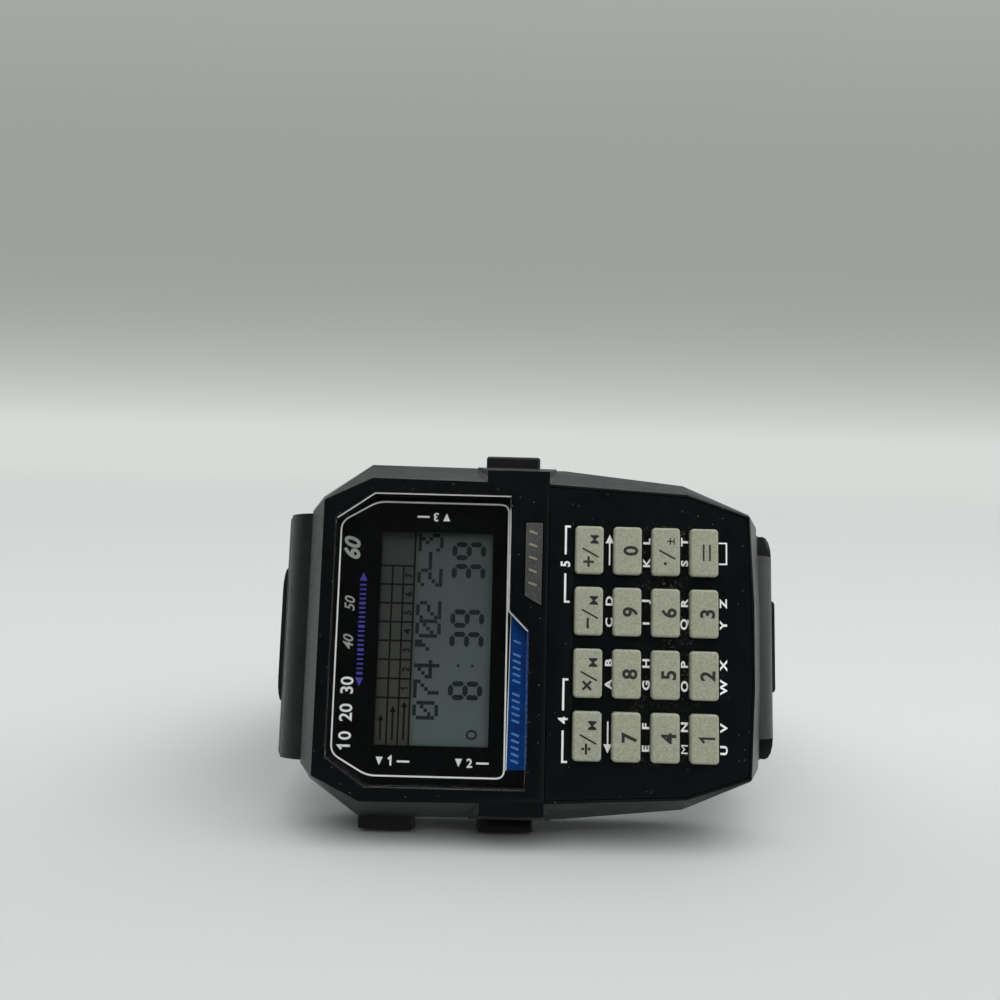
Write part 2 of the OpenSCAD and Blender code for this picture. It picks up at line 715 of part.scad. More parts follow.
// Side buttons: head, stem and end groove, each a piece that slides across the case
module side_button(head_x, stem_x, side) {
    head_len = side_out - head_z0;
    translate([head_x, side_button_y, side * (head_z0 + head_len / 2)])
        cube([side_button_w, side_button_h, head_len], center = true);
    stem_len = head_z0 - stem_end;
    translate([stem_x, side_button_y, side * (stem_end + stem_len / 2)]) difference() {
        cylinder(h = stem_len, r = stem_r, center = true);
        translate([0, 0, side * (clip_z0 + 0.15 - stem_end - stem_len / 2)]) difference() {
            cylinder(h = 0.34, r = stem_r + 1, center = true);
            cylinder(h = 1, r = stem_r - 0.25, center = true);
        }
    }
}

// The spring clip in the groove of a button's stem
module stem_clip(stem_x, side) color(steel) stand() {
    translate([stem_x, side_button_y, side * (clip_z0 + 0.15)]) difference() {
        cylinder(h = 0.3, r = clip_r, center = true);
        cylinder(h = 1, r = stem_r - 0.23, center = true);
        translate([0, -clip_r, 0]) cube([0.7, 2 * clip_r, 1], center = true);
    }
}

module adjust_button() color(resin) stand() side_button(adjust_x, adjust_stem_x, -1);
module mode_button() color(resin) stand() side_button(mode_x, mode_x, -1);
module clear_button() color(resin) stand() side_button(mode_x, mode_x, 1);

module button_seals() color([0.06, 0.06, 0.06]) stand() {
    for (s = stems) translate([s[0], side_button_y, s[1] * (seal_z0 + seal_len / 2)]) difference() {
        cylinder(h = seal_len, r = stem_r + 0.55, center = true);
        cylinder(h = 2, r = stem_r + 0.04, center = true);
    }
}

// Leaf contacts: a foot on the board and a blade behind each stem
module side_contacts() color(brass) stand() {
    blade_y0 = parts_y0 + 0.02;
    blade_y1 = side_button_y + stem_r;
    for (s = stems) {
        translate([s[0], blade_y0 + contact_foot_th / 2, s[1] * (contact_z - contact_foot / 2)])
            cube([contact_w, contact_foot_th, contact_foot], center = true);
        translate([s[0], (blade_y0 + blade_y1) / 2, s[1] * (contact_z - contact_blade_th / 2)])
            cube([contact_w, blade_y1 - blade_y0, contact_blade_th], center = true);
    }
}

// Module

module circuit_board() color([0.12, 0.35, 0.2]) stand() {
    through(board_y0, board_y1) difference() {
        inner_shape(inner_gap);
        for (p = screw_spots) translate(p) circle(r = 0.45);
    }
}

module main_chip() color([0.05, 0.05, 0.05]) stand() {
    hull() {
        rod_y(chip_x, chip_z, chip_r, parts_y0, parts_y0 + 0.3);
        rod_y(chip_x, chip_z, chip_r - 1, parts_y0, parts_y0 + 0.75);
    }
}

module quartz_can() color(steel) stand() {
    translate([0, parts_y0 + 0.5, -8]) rotate([0, 90, 0]) cylinder(h = 5, r = 0.46);
}

module backlight_coil() color(brass) stand() {
    rod_y(2.5, 8.6, 1.9, parts_y0, parts_y0 + 0.12);
    rod_y(2.5, 8.6, 1.2, parts_y0, parts_y0 + 0.7);
    rod_y(2.5, 8.6, 1.9, parts_y0 + 0.58, parts_y0 + 0.7);
}

module battery_holder() color([0.8, 0.8, 0.76]) stand() {
    difference() {
        through(holder_y0, holder_y1) inner_part(inner_gap, frame_x1);
        rod_y(battery_x, 0, battery_d / 2 + slide_gap, battery_y0 - run_gap, holder_y1 + 1);
        through(holder_y0 - 1, tray_y) inner_part(1.4, frame_x1 - 1.2);
        for (side = [-1, 1]) translate([battery_x, holder_y1, side * clip_half])
            cube([clip_w + 0.6, 3, 0.7], center = true);
        rod_y(buzzer_x, 0, 1.4, 0, holder_y1 + 1);
        for (s = stems)
            translate([s[0], blade_relief_y - 1, s[1] * (contact_z - contact_foot / 2)])
                cube([contact_w + 2 * inner_gap, 2, contact_foot + 2 * inner_gap], center = true);
        for (p = screw_spots) {
            rod_y(p[0], p[1], 0.45, 0, holder_y1 + 1);
            rod_y(p[0], p[1], 0.85, holder_y1 - 0.35, holder_y1 + 1);
        }
    }
}

module battery() color(steel) stand() {
    rod_y(battery_x, 0, battery_d / 2, battery_y0 + 0.25, battery_y1);
    rod_y(battery_x, 0, battery_d / 2 - 1.2, battery_y0, battery_y0 + 0.25);
}

module battery_clip() color(steel) stand() {
    through(clip_y0, clip_y0 + clip_th)
        box_xz(battery_x - clip_w / 2, battery_x + clip_w / 2, -clip_half - 0.1, clip_half + 0.1);
    for (side = [-1, 1]) translate([battery_x, clip_y0 - 0.5, side * clip_half])
        cube([clip_w, 1.1, 0.2], center = true);
}

module insulator_sheet() color([0.75, 0.6, 0.3]) stand() {
    through(insulator_y0, insulator_y0 + 0.08)
        box_xz(insulator_x0, insulator_x1, -insulator_half, insulator_half);
}

module buzzer_disc() color(brass) stand() {
    rod_y(buzzer_x, 0, buzzer_d / 2, buzzer_y1 - buzzer_th * 2 / 3, buzzer_y1);
    rod_y(buzzer_x, 0, buzzer_d / 2 - 2, buzzer_y1 - buzzer_th, buzzer_y1 - buzzer_th / 3);
}

// Spring that carries the buzzer's signal from the board, wound as one tube
spring_turns = 5;
spring_steps = 10;
spring_wire = 0.16;
spring_r = 0.85;
function spring_point(i, k) = let (
    turn = 360 * i / spring_steps,
    around = 360 * k / 6,
    r = spring_r + spring_wire * cos(around),
    climb = (buzzer_y1 - buzzer_th - 2 * spring_wire - 0.06 - parts_y0) * i / (spring_turns * spring_steps)
) [r * cos(turn), r * sin(turn), climb + spring_wire * sin(around)];
module buzzer_spring() color(steel) stand() {
    rings = spring_turns * spring_steps;
    points = [for (i = [0:rings], k = [0:5]) spring_point(i, k)];
    sides = [for (i = [0:rings - 1], k = [0:5]) each [
        [6 * i + k, 6 * i + (k + 1) % 6, 6 * (i + 1) + k],
        [6 * i + (k + 1) % 6, 6 * (i + 1) + (k + 1) % 6, 6 * (i + 1) + k]
    ]];
    ends = [for (k = [1:4]) each [[0, k + 1, k], [6 * rings, 6 * rings + k, 6 * rings + k + 1]]];
    translate([buzzer_x, parts_y0 + spring_wire + 0.03, 0]) rotate([-90, 0, 0])
        polyhedron(points = points, faces = concat(sides, ends), convexity = 8);
}

module module_screws() color(steel) stand() {
    for (p = screw_spots) {
        rod_y(p[0], p[1], 0.4, lcd_y0 + 0.3, holder_y1 - 0.2);
        rod_y(p[0], p[1], 0.8, holder_y1 - 0.33, holder_y1);
    }
}

// Back cover

// A ring that runs inside the bosses
module ring_shape(outer, inner) {
    difference() {
        between_bosses(outer);
        between_bosses(inner);
    }
}

module back_gasket() color([0.06, 0.06, 0.06]) stand() {
    through(spigot_y0 + 0.05, case_depth - seat_gap) ring_shape(0.06, 0.8);
}

module case_back() color(steel) stand() {
    difference() {
        union() {
            through(case_depth + 0.02, cover_y1) offset(delta = cover_lap) cavity_shape(0);
            through(spigot_y0, case_depth + 0.1) ring_shape(0.9, 1.7);
        }
        for (b = bosses) {
            rod_y(b[0], b[1], screw_r + 0.15, case_depth - 1, cover_y1);
            rod_y(b[0], b[1], screw_head_r + 0.1, cover_y1 - 0.45, cover_y1 + 1);
        }
    }
}

module case_back_screws() color(steel) stand() {
    for (b = bosses) {
        rod_y(b[0], b[1], screw_r, case_depth - 3, cover_y1 - 0.4);
        difference() {
            rod_y(b[0], b[1], screw_head_r, cover_y1 - 0.42, cover_y1 - 0.04);
            translate([b[0], cover_y1, b[1]]) cube([0.3, 0.4, 1.6], center = true);
            translate([b[0], cover_y1, b[1]]) cube([1.6, 0.4, 0.3], center = true);
        }
    }
}

// Strap

function steps(from, to, count) = [for (i = [0:count]) from + (to - from) * i / count];

// A size that changes evenly from the case to the back of the wrist, at a given depth
narrow_y0 = 12;
narrow_y1 = 38;
function between(at_case, at_back, y) = let (way = (y - narrow_y0) / (narrow_y1 - narrow_y0))
    at_case + (at_back - at_case) * min(1, max(0, way));

// A section's right edge that rolls off in a quarter ellipse, from its side to its flat top
function roll_off(half, width, low, high) = [for (a = [0:22.5:90])
    [half - width * (1 - cos(a)), low + (high - low) * sin(a)]];

// A whole section, given by its right half from the wrist outwards
function both_sides(right) = concat(right, [for (i = [len(right) - 1:-1:0]) [-right[i][0], right[i][1]]]);

function strap_section(half, roll_width, roll_height) = both_sides(concat(
    [[half - strap_edge, -strap_th / 2], [half, strap_edge - strap_th / 2]],
    roll_off(half, roll_width, strap_th / 2 - roll_height, strap_th / 2)));

function section_12(phi) =
    strap_section(between(strap_half_12, strap_half_back, on_loop(phi, 0)[1]), strap_edge, strap_edge);

function section_6(phi) = let (y = on_loop(phi, 0)[1])
    strap_section(between(strap_half_6, strap_half_back, y), between(shoulder, shoulder / 2, y), strap_step);

function rib_section(foot, top, height) = both_sides(concat([[foot / 2, 0]],
    roll_off(foot / 2, (foot - top) / 2, strap_th / 2, strap_th / 2 + height)));

// The points of a section at one direction of the loop
function ring(phi, section, lifted) = [for (p = section)
    let (at = on_loop(phi, p[1] + (lifted ? tail_off(phi) : 0))) [at[0], at[1], p[0]]];

// A solid through rings that follow each other as the loop's direction grows
module loft(rings) {
    n = len(rings[0]);
    last = len(rings) - 1;
    polyhedron(
        points = [for (r = rings, p = r) p],
        faces = concat(
            [[for (j = [0:n - 1]) j]],
            [[for (j = [n - 1:-1:0]) last * n + j]],
            [for (i = [0:last - 1], j = [0:n - 1]) let (k = (j + 1) % n)
                [(i + 1) * n + k, i * n + k, i * n + j]],
            [for (i = [0:last - 1], j = [0:n - 1]) let (k = (j + 1) % n)
                [(i + 1) * n + j, (i + 1) * n + k, i * n + j]]
        ));
}

// The strap's end: a block rounded about the spring bar, so that it can turn in its groove
module strap_end(hinge, r, side, width) {
    intersection() {
        rod_z(hinge, r, width);
        translate([hinge[0] + side * 4.9, hinge[1] - 1.6, 0]) cube([13.6, 8, width + 1], center = true);
    }
    rod_z(hinge, tube_r, width);
}

module strap_12() color(resin) stand() {
    difference() {
        union() {
            loft([for (phi = steps(phi_pin, phi_12, 48)) ring(phi, section_12(phi), false)]);
            strap_end(hinge_12, end_r_12, -1, strap_12_w);
            loft([for (phi = steps(rib_12_end, phi_12 - rib_start, 14))
                ring(phi, rib_section(rib_w + rib_flare, rib_w - rib_flare, rib_12_h), false)]);
            rod_z(pin_at, strap_th / 2, strap_back_w);
        }
        rod_z(hinge_12, bar_r + run_gap, 60);
        rod_z(pin_at, pin_r + run_gap, 60);
        translate([pin_at[0] + 1, pin_at[1], 0])
            cube([7, strap_th * 2, tongue_pin_w + 0.6], center = true);
    }
}

// Holes for the buckle's tongue, square to the strap and evenly spaced along it
tail_x = on_loop(phi_tail, 0)[0];
function hole_phi(i) = let (x = tail_x + 5 + hole_pitch * i)
    x > 0 ? phi_at_x(x, loop_6) : 180 - phi_at_x(x, loop_12);

module strap_6() color(resin) stand() {
    difference() {
        union() {
            loft([for (phi = steps(phi_6, phi_tail, 48)) ring(phi, section_6(phi), true)]);
            strap_end(hinge_6, tube_r, 1, strap_6_w);
            strap_end(hinge_6, end_r_6, 1, strap_6_w - 2 * shoulder);
            loft([for (phi = steps(phi_6 + rib_start, rib_6_end, 14))
                ring(phi, rib_section(rib_w - 2, rib_w - 3, rib_6_h), true)]);
        }
        rod_z(hinge_6, bar_r + run_gap, 60);
        for (i = [0:hole_count - 1]) let (phi = hole_phi(i), at = on_loop(phi, tail_off(phi)))
            translate([at[0], at[1], 0]) rotate([0, 0, phi]) rotate([0, 90, 0])
                linear_extrude(6, center = true) round_rect(3, 1.9, 0.9);
    }
}

module spring_bar(hinge, width) {
    rod_z(hinge, bar_r, width - 0.6);
    rod_z(hinge, tip_r, width + 2 * cheek_gap + 2 * tip_len - 0.3);
}

module spring_bar_12() color(steel) stand() spring_bar(hinge_12, strap_12_w);
module spring_bar_6() color(steel) stand() spring_bar(hinge_6, strap_6_w);

// Buckle

module at_pin() {
    translate([pin_at[0], pin_at[1], 0]) rotate([0, 0, frame_turn]) children();
}

// In at_pin(), x runs towards the far bar and y away from the wrist
module buckle_frame() color(steel) stand() {
    at_pin() difference() {
        union() {
            for (side = [-1, 1]) {
                translate([frame_len / 2 - 0.6, 0, side * (arm_in + arm_out) / 2])
                    cube([frame_len - 1.2, frame_th, frame_arm], center = true);
                translate([0, 0, side * (arm_in + arm_out) / 2])
                    cylinder(h = frame_arm, r = 1.5, center = true);
            }
            translate([frame_len - far_bar / 2, 0, 0]) cube([far_bar, frame_th, 2 * arm_out], center = true);
        }
        cylinder(h = 60, r = pin_r + run_gap, center = true);
    }
}

module buckle_pin() color(steel) stand() rod_z(pin_at, pin_r, 2 * arm_out - 0.2);

module buckle_tongue() color(steel) stand() {
    at_pin() difference() {
        union() {
            cylinder(h = tongue_pin_w, r = 1.35, center = true);
            linear_extrude(tongue_pin_w, center = true) polygon([
                [0, frame_th / 2 + 0.05], [frame_len + 0.2, frame_th / 2 + 0.05],
                [frame_len, frame_th / 2 + 0.75], [0, 1.3]
            ]);
        }
        cylinder(h = 20, r = pin_r + run_gap, center = true);
    }
}

module keeper() color(resin) stand() {
    half = strap_half_back + 0.35;
    low = -strap_th / 2 - 0.55;
    high = strap_th / 2 + 2.7;
    mid = (low + high) / 2;
    translate([keeper_at[0], keeper_at[1], 0]) rotate([0, 0, phi_keeper])
        translate([mid, 0, 0]) difference() {
            cube([high - low + 2 * keeper_wall, keeper_len, 2 * (half + keeper_wall)], center = true);
            cube([high - low, keeper_len + 1, 2 * half], center = true);
        }
}

case_body();
keypad_panel();
crystal();
crystal_gasket();
accent_plate();
display_mask();
lcd_cell();
lcd_reflector();
backlight_panel();
connector_strips();
module_frame();
key_mat();
circuit_board();
main_chip();
quartz_can();
backlight_coil();
battery_holder();
battery();
battery_clip();
insulator_sheet();
buzzer_disc();
buzzer_spring();
side_contacts();
module_screws();
back_gasket();
case_back();
case_back_screws();
key(0, 0);  // key_divide
key(1, 0);  // key_7
key(2, 0);  // key_4
key(3, 0);  // key_1
key(0, 1);  // key_times
key(1, 1);  // key_8
key(2, 1);  // key_5
key(3, 1);  // key_2
key(0, 2);  // key_minus
key(1, 2);  // key_9
key(2, 2);  // key_6
key(3, 2);  // key_3
key(0, 3);  // key_plus
key(1, 3);  // key_0
key(2, 3);  // key_point
key(3, 3);  // key_equals
light_button();
adjust_button();
mode_button();
clear_button();
button_seals();
stem_clip(adjust_stem_x, -1);  // adjust_clip
stem_clip(mode_x, -1);  // mode_clip
stem_clip(mode_x, 1);  // clear_clip
strap_12();
strap_6();
spring_bar_12();
spring_bar_6();
buckle_frame();
buckle_tongue();
buckle_pin();
keeper();
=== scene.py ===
# %% [markdown]
# # A digital watch with a calculator keypad
# The watch stands on a white table, on the two buttons of its lower side, with its strap closed behind it.
# Its CAD model gives every piece its place, so this lesson only adds what the eye sees: rounded edges,
# print, a working display, grain, dust and gloss. The watch leans back a little, so most shapes here are
# built in the watch's own directions, in millimetres, and turned into place at the end.

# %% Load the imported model
import json
import math

import bmesh
import bpy
from mathutils import Matrix, Vector


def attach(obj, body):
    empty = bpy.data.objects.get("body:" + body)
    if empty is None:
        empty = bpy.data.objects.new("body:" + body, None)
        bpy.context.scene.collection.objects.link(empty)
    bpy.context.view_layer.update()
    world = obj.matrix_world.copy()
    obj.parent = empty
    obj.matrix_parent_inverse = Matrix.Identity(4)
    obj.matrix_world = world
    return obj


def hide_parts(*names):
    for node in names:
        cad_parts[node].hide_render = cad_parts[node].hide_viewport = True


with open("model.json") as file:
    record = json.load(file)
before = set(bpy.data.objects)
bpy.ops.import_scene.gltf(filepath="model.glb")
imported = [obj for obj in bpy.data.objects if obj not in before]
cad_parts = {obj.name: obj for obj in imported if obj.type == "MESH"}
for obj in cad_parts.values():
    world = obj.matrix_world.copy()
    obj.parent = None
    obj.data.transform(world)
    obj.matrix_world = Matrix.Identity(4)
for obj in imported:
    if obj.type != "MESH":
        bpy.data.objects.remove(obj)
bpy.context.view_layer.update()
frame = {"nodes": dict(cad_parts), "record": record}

# %% [markdown]
# The back cover's mount says which way the watch faces. From it comes one matrix that takes millimetres
# in the watch's own frame to metres in the scene: x runs from 12 o'clock to 6 o'clock, y goes into the
# case from its face, and z runs up across the face, from the lower buttons to the upper one.

# %% The watch's own frame
cover_mount = next(m for m in frame["record"]["mounts"] if m["name"] == "case_back")
ALONG = Vector((1, 0, 0))
INTO = Vector(cover_mount["axis"]).normalized()
ACROSS = ALONG.cross(INTO)
COVER_AT = (0.2, 10.4)
origin = Vector(cover_mount["pos_m"]) - 0.001 * (COVER_AT[0] * ALONG + COVER_AT[1] * INTO)
axes = Matrix((ALONG, INTO, ACROSS)).transposed().to_4x4()
WATCH = Matrix.Translation(origin) @ axes @ Matrix.Scale(0.001, 4)
TO_WATCH = WATCH.inverted()


def place(x, y, z):
    return WATCH @ Vector((x, y, z))


print("face centre in mm:", [round(1000 * v, 2) for v in place(0, 0, 0)])

# %% [markdown]
# The camera stands where the photographer held it: about 10.5 cm in front of the face, looking down on
# the table by 5 degrees. Its angle was found from the key grid and the corners of the glass.

# %% Camera
CAMERA_AT = (-3.95, -104.85, 0.08)
camera_data = bpy.data.cameras.new("camera")
camera_data.lens = 36
camera_data.sensor_width = 36
camera_data.clip_start = 0.01
camera_data.clip_end = 20
camera = bpy.data.objects.new("camera", camera_data)
bpy.context.scene.collection.objects.link(camera)
view_right = Vector((0.99965, -0.00362, 0.02609))
view_ahead = Vector((0, 0.99051, 0.13744))
turn = Matrix((view_right, view_right.cross(view_ahead), -view_ahead)).transposed()
camera.matrix_world = Matrix.Translation(place(*CAMERA_AT)) @ (axes.to_3x3() @ turn).to_4x4()
bpy.context.scene.camera = camera
bpy.context.scene.view_settings.view_transform = "Standard"
print("camera height in mm:", round(1000 * camera.matrix_world.translation.z, 1))

# %% [markdown]
# Nodes are added by many short lines, so four helpers keep them readable: one adds a node and sets its
# sockets, one joins two sockets, one starts a node group with named inputs and outputs, and one places
# such a group in a material with values of its own.

# %% Helpers for nodes


def add(tree, kind, **values):
    node = tree.nodes.new(kind)
    for key, value in values.items():
        label = key.replace("_", " ")
        if label in node.inputs:
            node.inputs[label].default_value = value
        else:
            setattr(node, key, value)
    return node


def join(tree, source, output, target, entry):
    tree.links.new(source.outputs[output], target.inputs[entry])


def start_group(name, inputs, outputs):
    tree = bpy.data.node_groups.new(name, "ShaderNodeTree")
    for label, kind, value in inputs:
        socket = tree.interface.new_socket(label, in_out="INPUT", socket_type=kind)
        socket.default_value = value
    for label, kind in outputs:
        tree.interface.new_socket(label, in_out="OUTPUT", socket_type=kind)
    return tree, tree.nodes.new("NodeGroupInput"), tree.nodes.new("NodeGroupOutput")


def place_group(tree, group, **values):
    node = tree.nodes.new("ShaderNodeGroup")
    node.node_tree = group
    for key, value in values.items():
        node.inputs[key.replace("_", " ")].default_value = value
    return node


NUMBER = "NodeSocketFloat"
NORMAL = "NodeSocketVector"
print("node helpers:", [helper.__name__ for helper in (add, join, start_group, place_group)])

# %% [markdown]
# Four effects come back in many finishes, so each is a node group, built once. The first is moulded grain,
# the fine orange peel that a spark-eroded mould leaves on resin. It could be a displaced mesh, but it is
# only a few hundredths of a millimetre deep, so a bump is enough.

# %% Group: moulded grain
grain, entry, leave = start_group(
    "moulded grain",
    [("Size", NUMBER, 6000.0), ("Depth", NUMBER, 0.3)],
    [("Normal", NORMAL)],
)
where = add(grain, "ShaderNodeTexCoord")
peel = add(grain, "ShaderNodeTexNoise", Detail=3.0, Roughness=0.65)
bump = add(grain, "ShaderNodeBump", Distance=0.00004)
join(grain, where, "Object", peel, "Vector")
join(grain, entry, "Size", peel, "Scale")
join(grain, entry, "Depth", bump, "Strength")
join(grain, peel, "Fac", bump, "Height")
join(grain, bump, "Normal", leave, "Normal")
print("moulded grain:", len(grain.nodes), "nodes")

# %% [markdown]
# Mottle is a slow change of tone, as on every surface that hands have polished unevenly. It could be a
# painted image, but a noise texture on Object coordinates needs no unwrapping and never shows a seam.
# Low and High set what it gives, so the same group serves for a share of colour and for roughness.

# %% Group: mottle
mottle, entry, leave = start_group(
    "mottle",
    [("Size", NUMBER, 300.0), ("Low", NUMBER, 0.0), ("High", NUMBER, 1.0)],
    [("Tone", NUMBER)],
)
where = add(mottle, "ShaderNodeTexCoord")
cloud = add(mottle, "ShaderNodeTexNoise", Detail=5.0, Roughness=0.6)
spread = add(mottle, "ShaderNodeMapRange", From_Min=0.3, From_Max=0.7)
join(mottle, where, "Object", cloud, "Vector")
join(mottle, entry, "Size", cloud, "Scale")
join(mottle, cloud, "Fac", spread, "Value")
join(mottle, entry, "Low", spread, "To Min")
join(mottle, entry, "High", spread, "To Max")
join(mottle, spread, "Result", leave, "Tone")
print("mottle:", len(mottle.nodes), "nodes")

# %% [markdown]
# Dust is the small pale specks that a used watch always carries. Loose grains could be scattered as
# objects, but at a tenth of a millimetre they are only dots. So a Voronoi pattern makes round dots, and
# each cell's own random colour decides whether it has one.

# %% Group: dust
dust, entry, leave = start_group(
    "dust",
    [("Spacing", NUMBER, 900.0), ("Speck", NUMBER, 0.1), ("Share", NUMBER, 0.1)],
    [("Mask", NUMBER)],
)
where = add(dust, "ShaderNodeTexCoord")
cells = add(dust, "ShaderNodeTexVoronoi", Randomness=1.0)
lot = add(dust, "ShaderNodeSeparateColor")
near = add(dust, "ShaderNodeMath", operation="LESS_THAN")
chosen = add(dust, "ShaderNodeMath", operation="LESS_THAN")
both = add(dust, "ShaderNodeMath", operation="MULTIPLY")
join(dust, where, "Object", cells, "Vector")
join(dust, entry, "Spacing", cells, "Scale")
join(dust, cells, "Distance", near, 0)
join(dust, entry, "Speck", near, 1)
join(dust, cells, "Color", lot, "Color")
join(dust, lot, "Red", chosen, 0)
join(dust, entry, "Share", chosen, 1)
join(dust, near, "Value", both, 0)
join(dust, chosen, "Value", both, 1)
join(dust, both, "Value", leave, "Mask")
print("dust:", len(dust.nodes), "nodes")

# %% [markdown]
# Brushed metal has fine lines in one direction, left by an abrasive belt. Anisotropic gloss would stretch
# the highlights but draw no lines. So noise that is stretched along the watch gives them, and it feeds both
# the colour and a faint bump, so that the lines catch the light.

# %% Group: brushed metal
brushed, entry, leave = start_group(
    "brushed metal",
    [("Along", NUMBER, 300.0), ("Across", NUMBER, 14000.0), ("Depth", NUMBER, 0.15)],
    [("Normal", NORMAL), ("Streak", NUMBER)],
)
where = add(brushed, "ShaderNodeTexCoord")
stretch = add(brushed, "ShaderNodeCombineXYZ")
scaled = add(brushed, "ShaderNodeVectorMath", operation="MULTIPLY")
streak = add(brushed, "ShaderNodeTexNoise", Scale=1.0, Detail=3.0, Roughness=0.7)
bump = add(brushed, "ShaderNodeBump", Distance=0.00002)
join(brushed, entry, "Along", stretch, "X")
join(brushed, entry, "Across", stretch, "Y")
join(brushed, entry, "Across", stretch, "Z")
join(brushed, where, "Object", scaled, 0)
join(brushed, stretch, "Vector", scaled, 1)
join(brushed, scaled, "Vector", streak, "Vector")
join(brushed, entry, "Depth", bump, "Strength")
join(brushed, streak, "Fac", bump, "Height")
join(brushed, bump, "Normal", leave, "Normal")
join(brushed, streak, "Fac", leave, "Streak")
print("node groups:", [g.name for g in bpy.data.node_groups])

# %% [markdown]
# Every finish starts from its tones and a new material. Tones are written as a screen shows them, from 0
# to 255, but a shader works with linear light, so one helper converts them. Others set up the mix of two
# tones and a roughness that wanders with the mottle, because no real surface is evenly glossy.

# %% Helpers: tones and sheen


def tone(value):
    """A written sRGB tone, 0 to 255, as the linear value that a shader wants."""
    v = value / 255
    return v / 12.92 if v <= 0.04045 else ((v + 0.055) / 1.055) ** 2.4


def rgb(r, g, b):
    return (tone(r), tone(g), tone(b), 1)


def mix_colours(tree, first, second):
    node = add(tree, "ShaderNodeMix", data_type="RGBA")
    node.inputs["A"].default_value = first
    node.inputs["B"].default_value = second
    return node


def new_finish(name):
    """A new material, with its node tree and its shader."""
    material = bpy.data.materials.new(name)
    material.use_nodes = True
    return material, material.node_tree, material.node_tree.nodes["Principled BSDF"]


def uneven_sheen(tree, shader, size, low, high):
    sheen = place_group(tree, mottle, Size=size, Low=low, High=high)
    join(tree, sheen, "Tone", shader, "Roughness")


print("a written tone of 128 is", round(tone(128), 3), "to a shader")

# %% [markdown]
# Resin, print, rubber and most inner parts share one recipe: two close tones mixed by the mottle, the
# moulded grain as bump, and dust on top. Painted images could do the same, but a recipe needs only a few
# numbers for each finish. Streaks are the paler lines that a sleeve wipes over the case.

# %% Recipe: moulded finishes
WIPED_STREAK = rgb(72, 74, 73)


def moulded(name, dark, light, rough=(0.4, 0.5), size=6000.0, depth=0.3, mottle_size=300.0,
            dust_share=0.0, dust_colour=rgb(120, 118, 108), spacing=900.0, speck=0.09, level=0.5,
            streaks=0.0):
    material, tree, shader = new_finish(name)
    shader.inputs["Specular IOR Level"].default_value = level
    clouds = place_group(tree, mottle, Size=mottle_size)
    tones = mix_colours(tree, dark, light)
    join(tree, clouds, "Tone", tones, "Factor")
    surface = tones.outputs["Result"]
    if streaks > 0:
        lines = place_group(tree, brushed, Along=140.0, Across=7000.0, Depth=0.0)
        chosen_lines = add(tree, "ShaderNodeMapRange", From_Min=0.5, From_Max=0.72, To_Max=streaks)
        wiped = mix_colours(tree, dark, WIPED_STREAK)
        join(tree, lines, "Streak", chosen_lines, "Value")
        join(tree, chosen_lines, "Result", wiped, "Factor")
        tree.links.new(surface, wiped.inputs["A"])
        surface = wiped.outputs["Result"]
    if dust_share > 0:
        specks = place_group(tree, dust, Spacing=spacing, Speck=speck, Share=dust_share)
        dusty = mix_colours(tree, dark, dust_colour)
        join(tree, specks, "Mask", dusty, "Factor")
        tree.links.new(surface, dusty.inputs["A"])
        surface = dusty.outputs["Result"]
    tree.links.new(surface, shader.inputs["Base Color"])
    uneven_sheen(tree, shader, mottle_size * 3, *rough)
    skin = place_group(tree, grain, Size=size, Depth=depth)
    join(tree, skin, "Normal", shader, "Normal")
    return material


print("streak tone:", [round(part, 3) for part in WIPED_STREAK[:3]])

# %% [markdown]
# Metal has a recipe of its own. It has no colour under its gloss, so Metallic is 1 and the tones tint the
# reflection. The brushed lines mix these tones and take the moulded grain's place.

# %% Recipe: metal finishes


def metal(name, dark, light, rough=(0.25, 0.4), across=14000.0, depth=0.15):
    material, tree, shader = new_finish(name)
    shader.inputs["Metallic"].default_value = 1
    lines = place_group(tree, brushed, Across=across, Depth=depth)
    tones = mix_colours(tree, dark, light)
    join(tree, lines, "Streak", tones, "Factor")
    join(tree, tones, "Result", shader, "Base Color")
    join(tree, lines, "Normal", shader, "Normal")
    uneven_sheen(tree, shader, 500.0, *rough)
    return material


print("recipes:", [recipe.__name__ for recipe in (moulded, metal)])

# %% [markdown]
# Outside, the watch is almost all black resin, but in several kinds: satin on the case, smoother on the
# face and under the panel's print, duller on the strap. One black for all would look like a toy. The keys
# are beige resin that has yellowed. The narrow bevels get a paler, scuffed resin, where rubbing shows
# first; that paleness is also a painted highlight, a lit rim painted on every bevel.

# %% Finishes of the outside
case_resin = moulded("case resin", rgb(13, 15, 17), rgb(26, 28, 30), rough=(0.27, 0.36), depth=0.35,
                     dust_share=0.08, spacing=1500.0, streaks=0.75, level=0.36)
face_resin = moulded("face resin", rgb(5, 7, 9), rgb(10, 12, 14), rough=(0.27, 0.33), depth=0.2,
                     dust_share=0.2, dust_colour=rgb(140, 140, 134), spacing=2100.0, speck=0.09,
                     level=0.15)
# Wear and painted highlight: the bevels' paler tone stands for scuffs and for the light a rim catches.
worn_edge_and_highlight = moulded("worn edge and painted highlight", rgb(40, 42, 42), rgb(96, 97, 94), rough=(0.3, 0.4), depth=0.4,
                    mottle_size=2600.0, dust_share=0.3, dust_colour=rgb(128, 128, 122), spacing=3200.0,
                    speck=0.22)
strap_resin = moulded("strap resin", rgb(14, 16, 17), rgb(27, 29, 30), rough=(0.36, 0.46), depth=0.45,
                      dust_share=0.06, spacing=1100.0, level=0.36)
panel_print = moulded("panel print", rgb(3, 7, 9), rgb(9, 13, 16), rough=(0.28, 0.34), depth=0.15,
                      dust_share=0.2, dust_colour=rgb(122, 120, 110), spacing=1900.0, speck=0.08,
                      level=0.15)
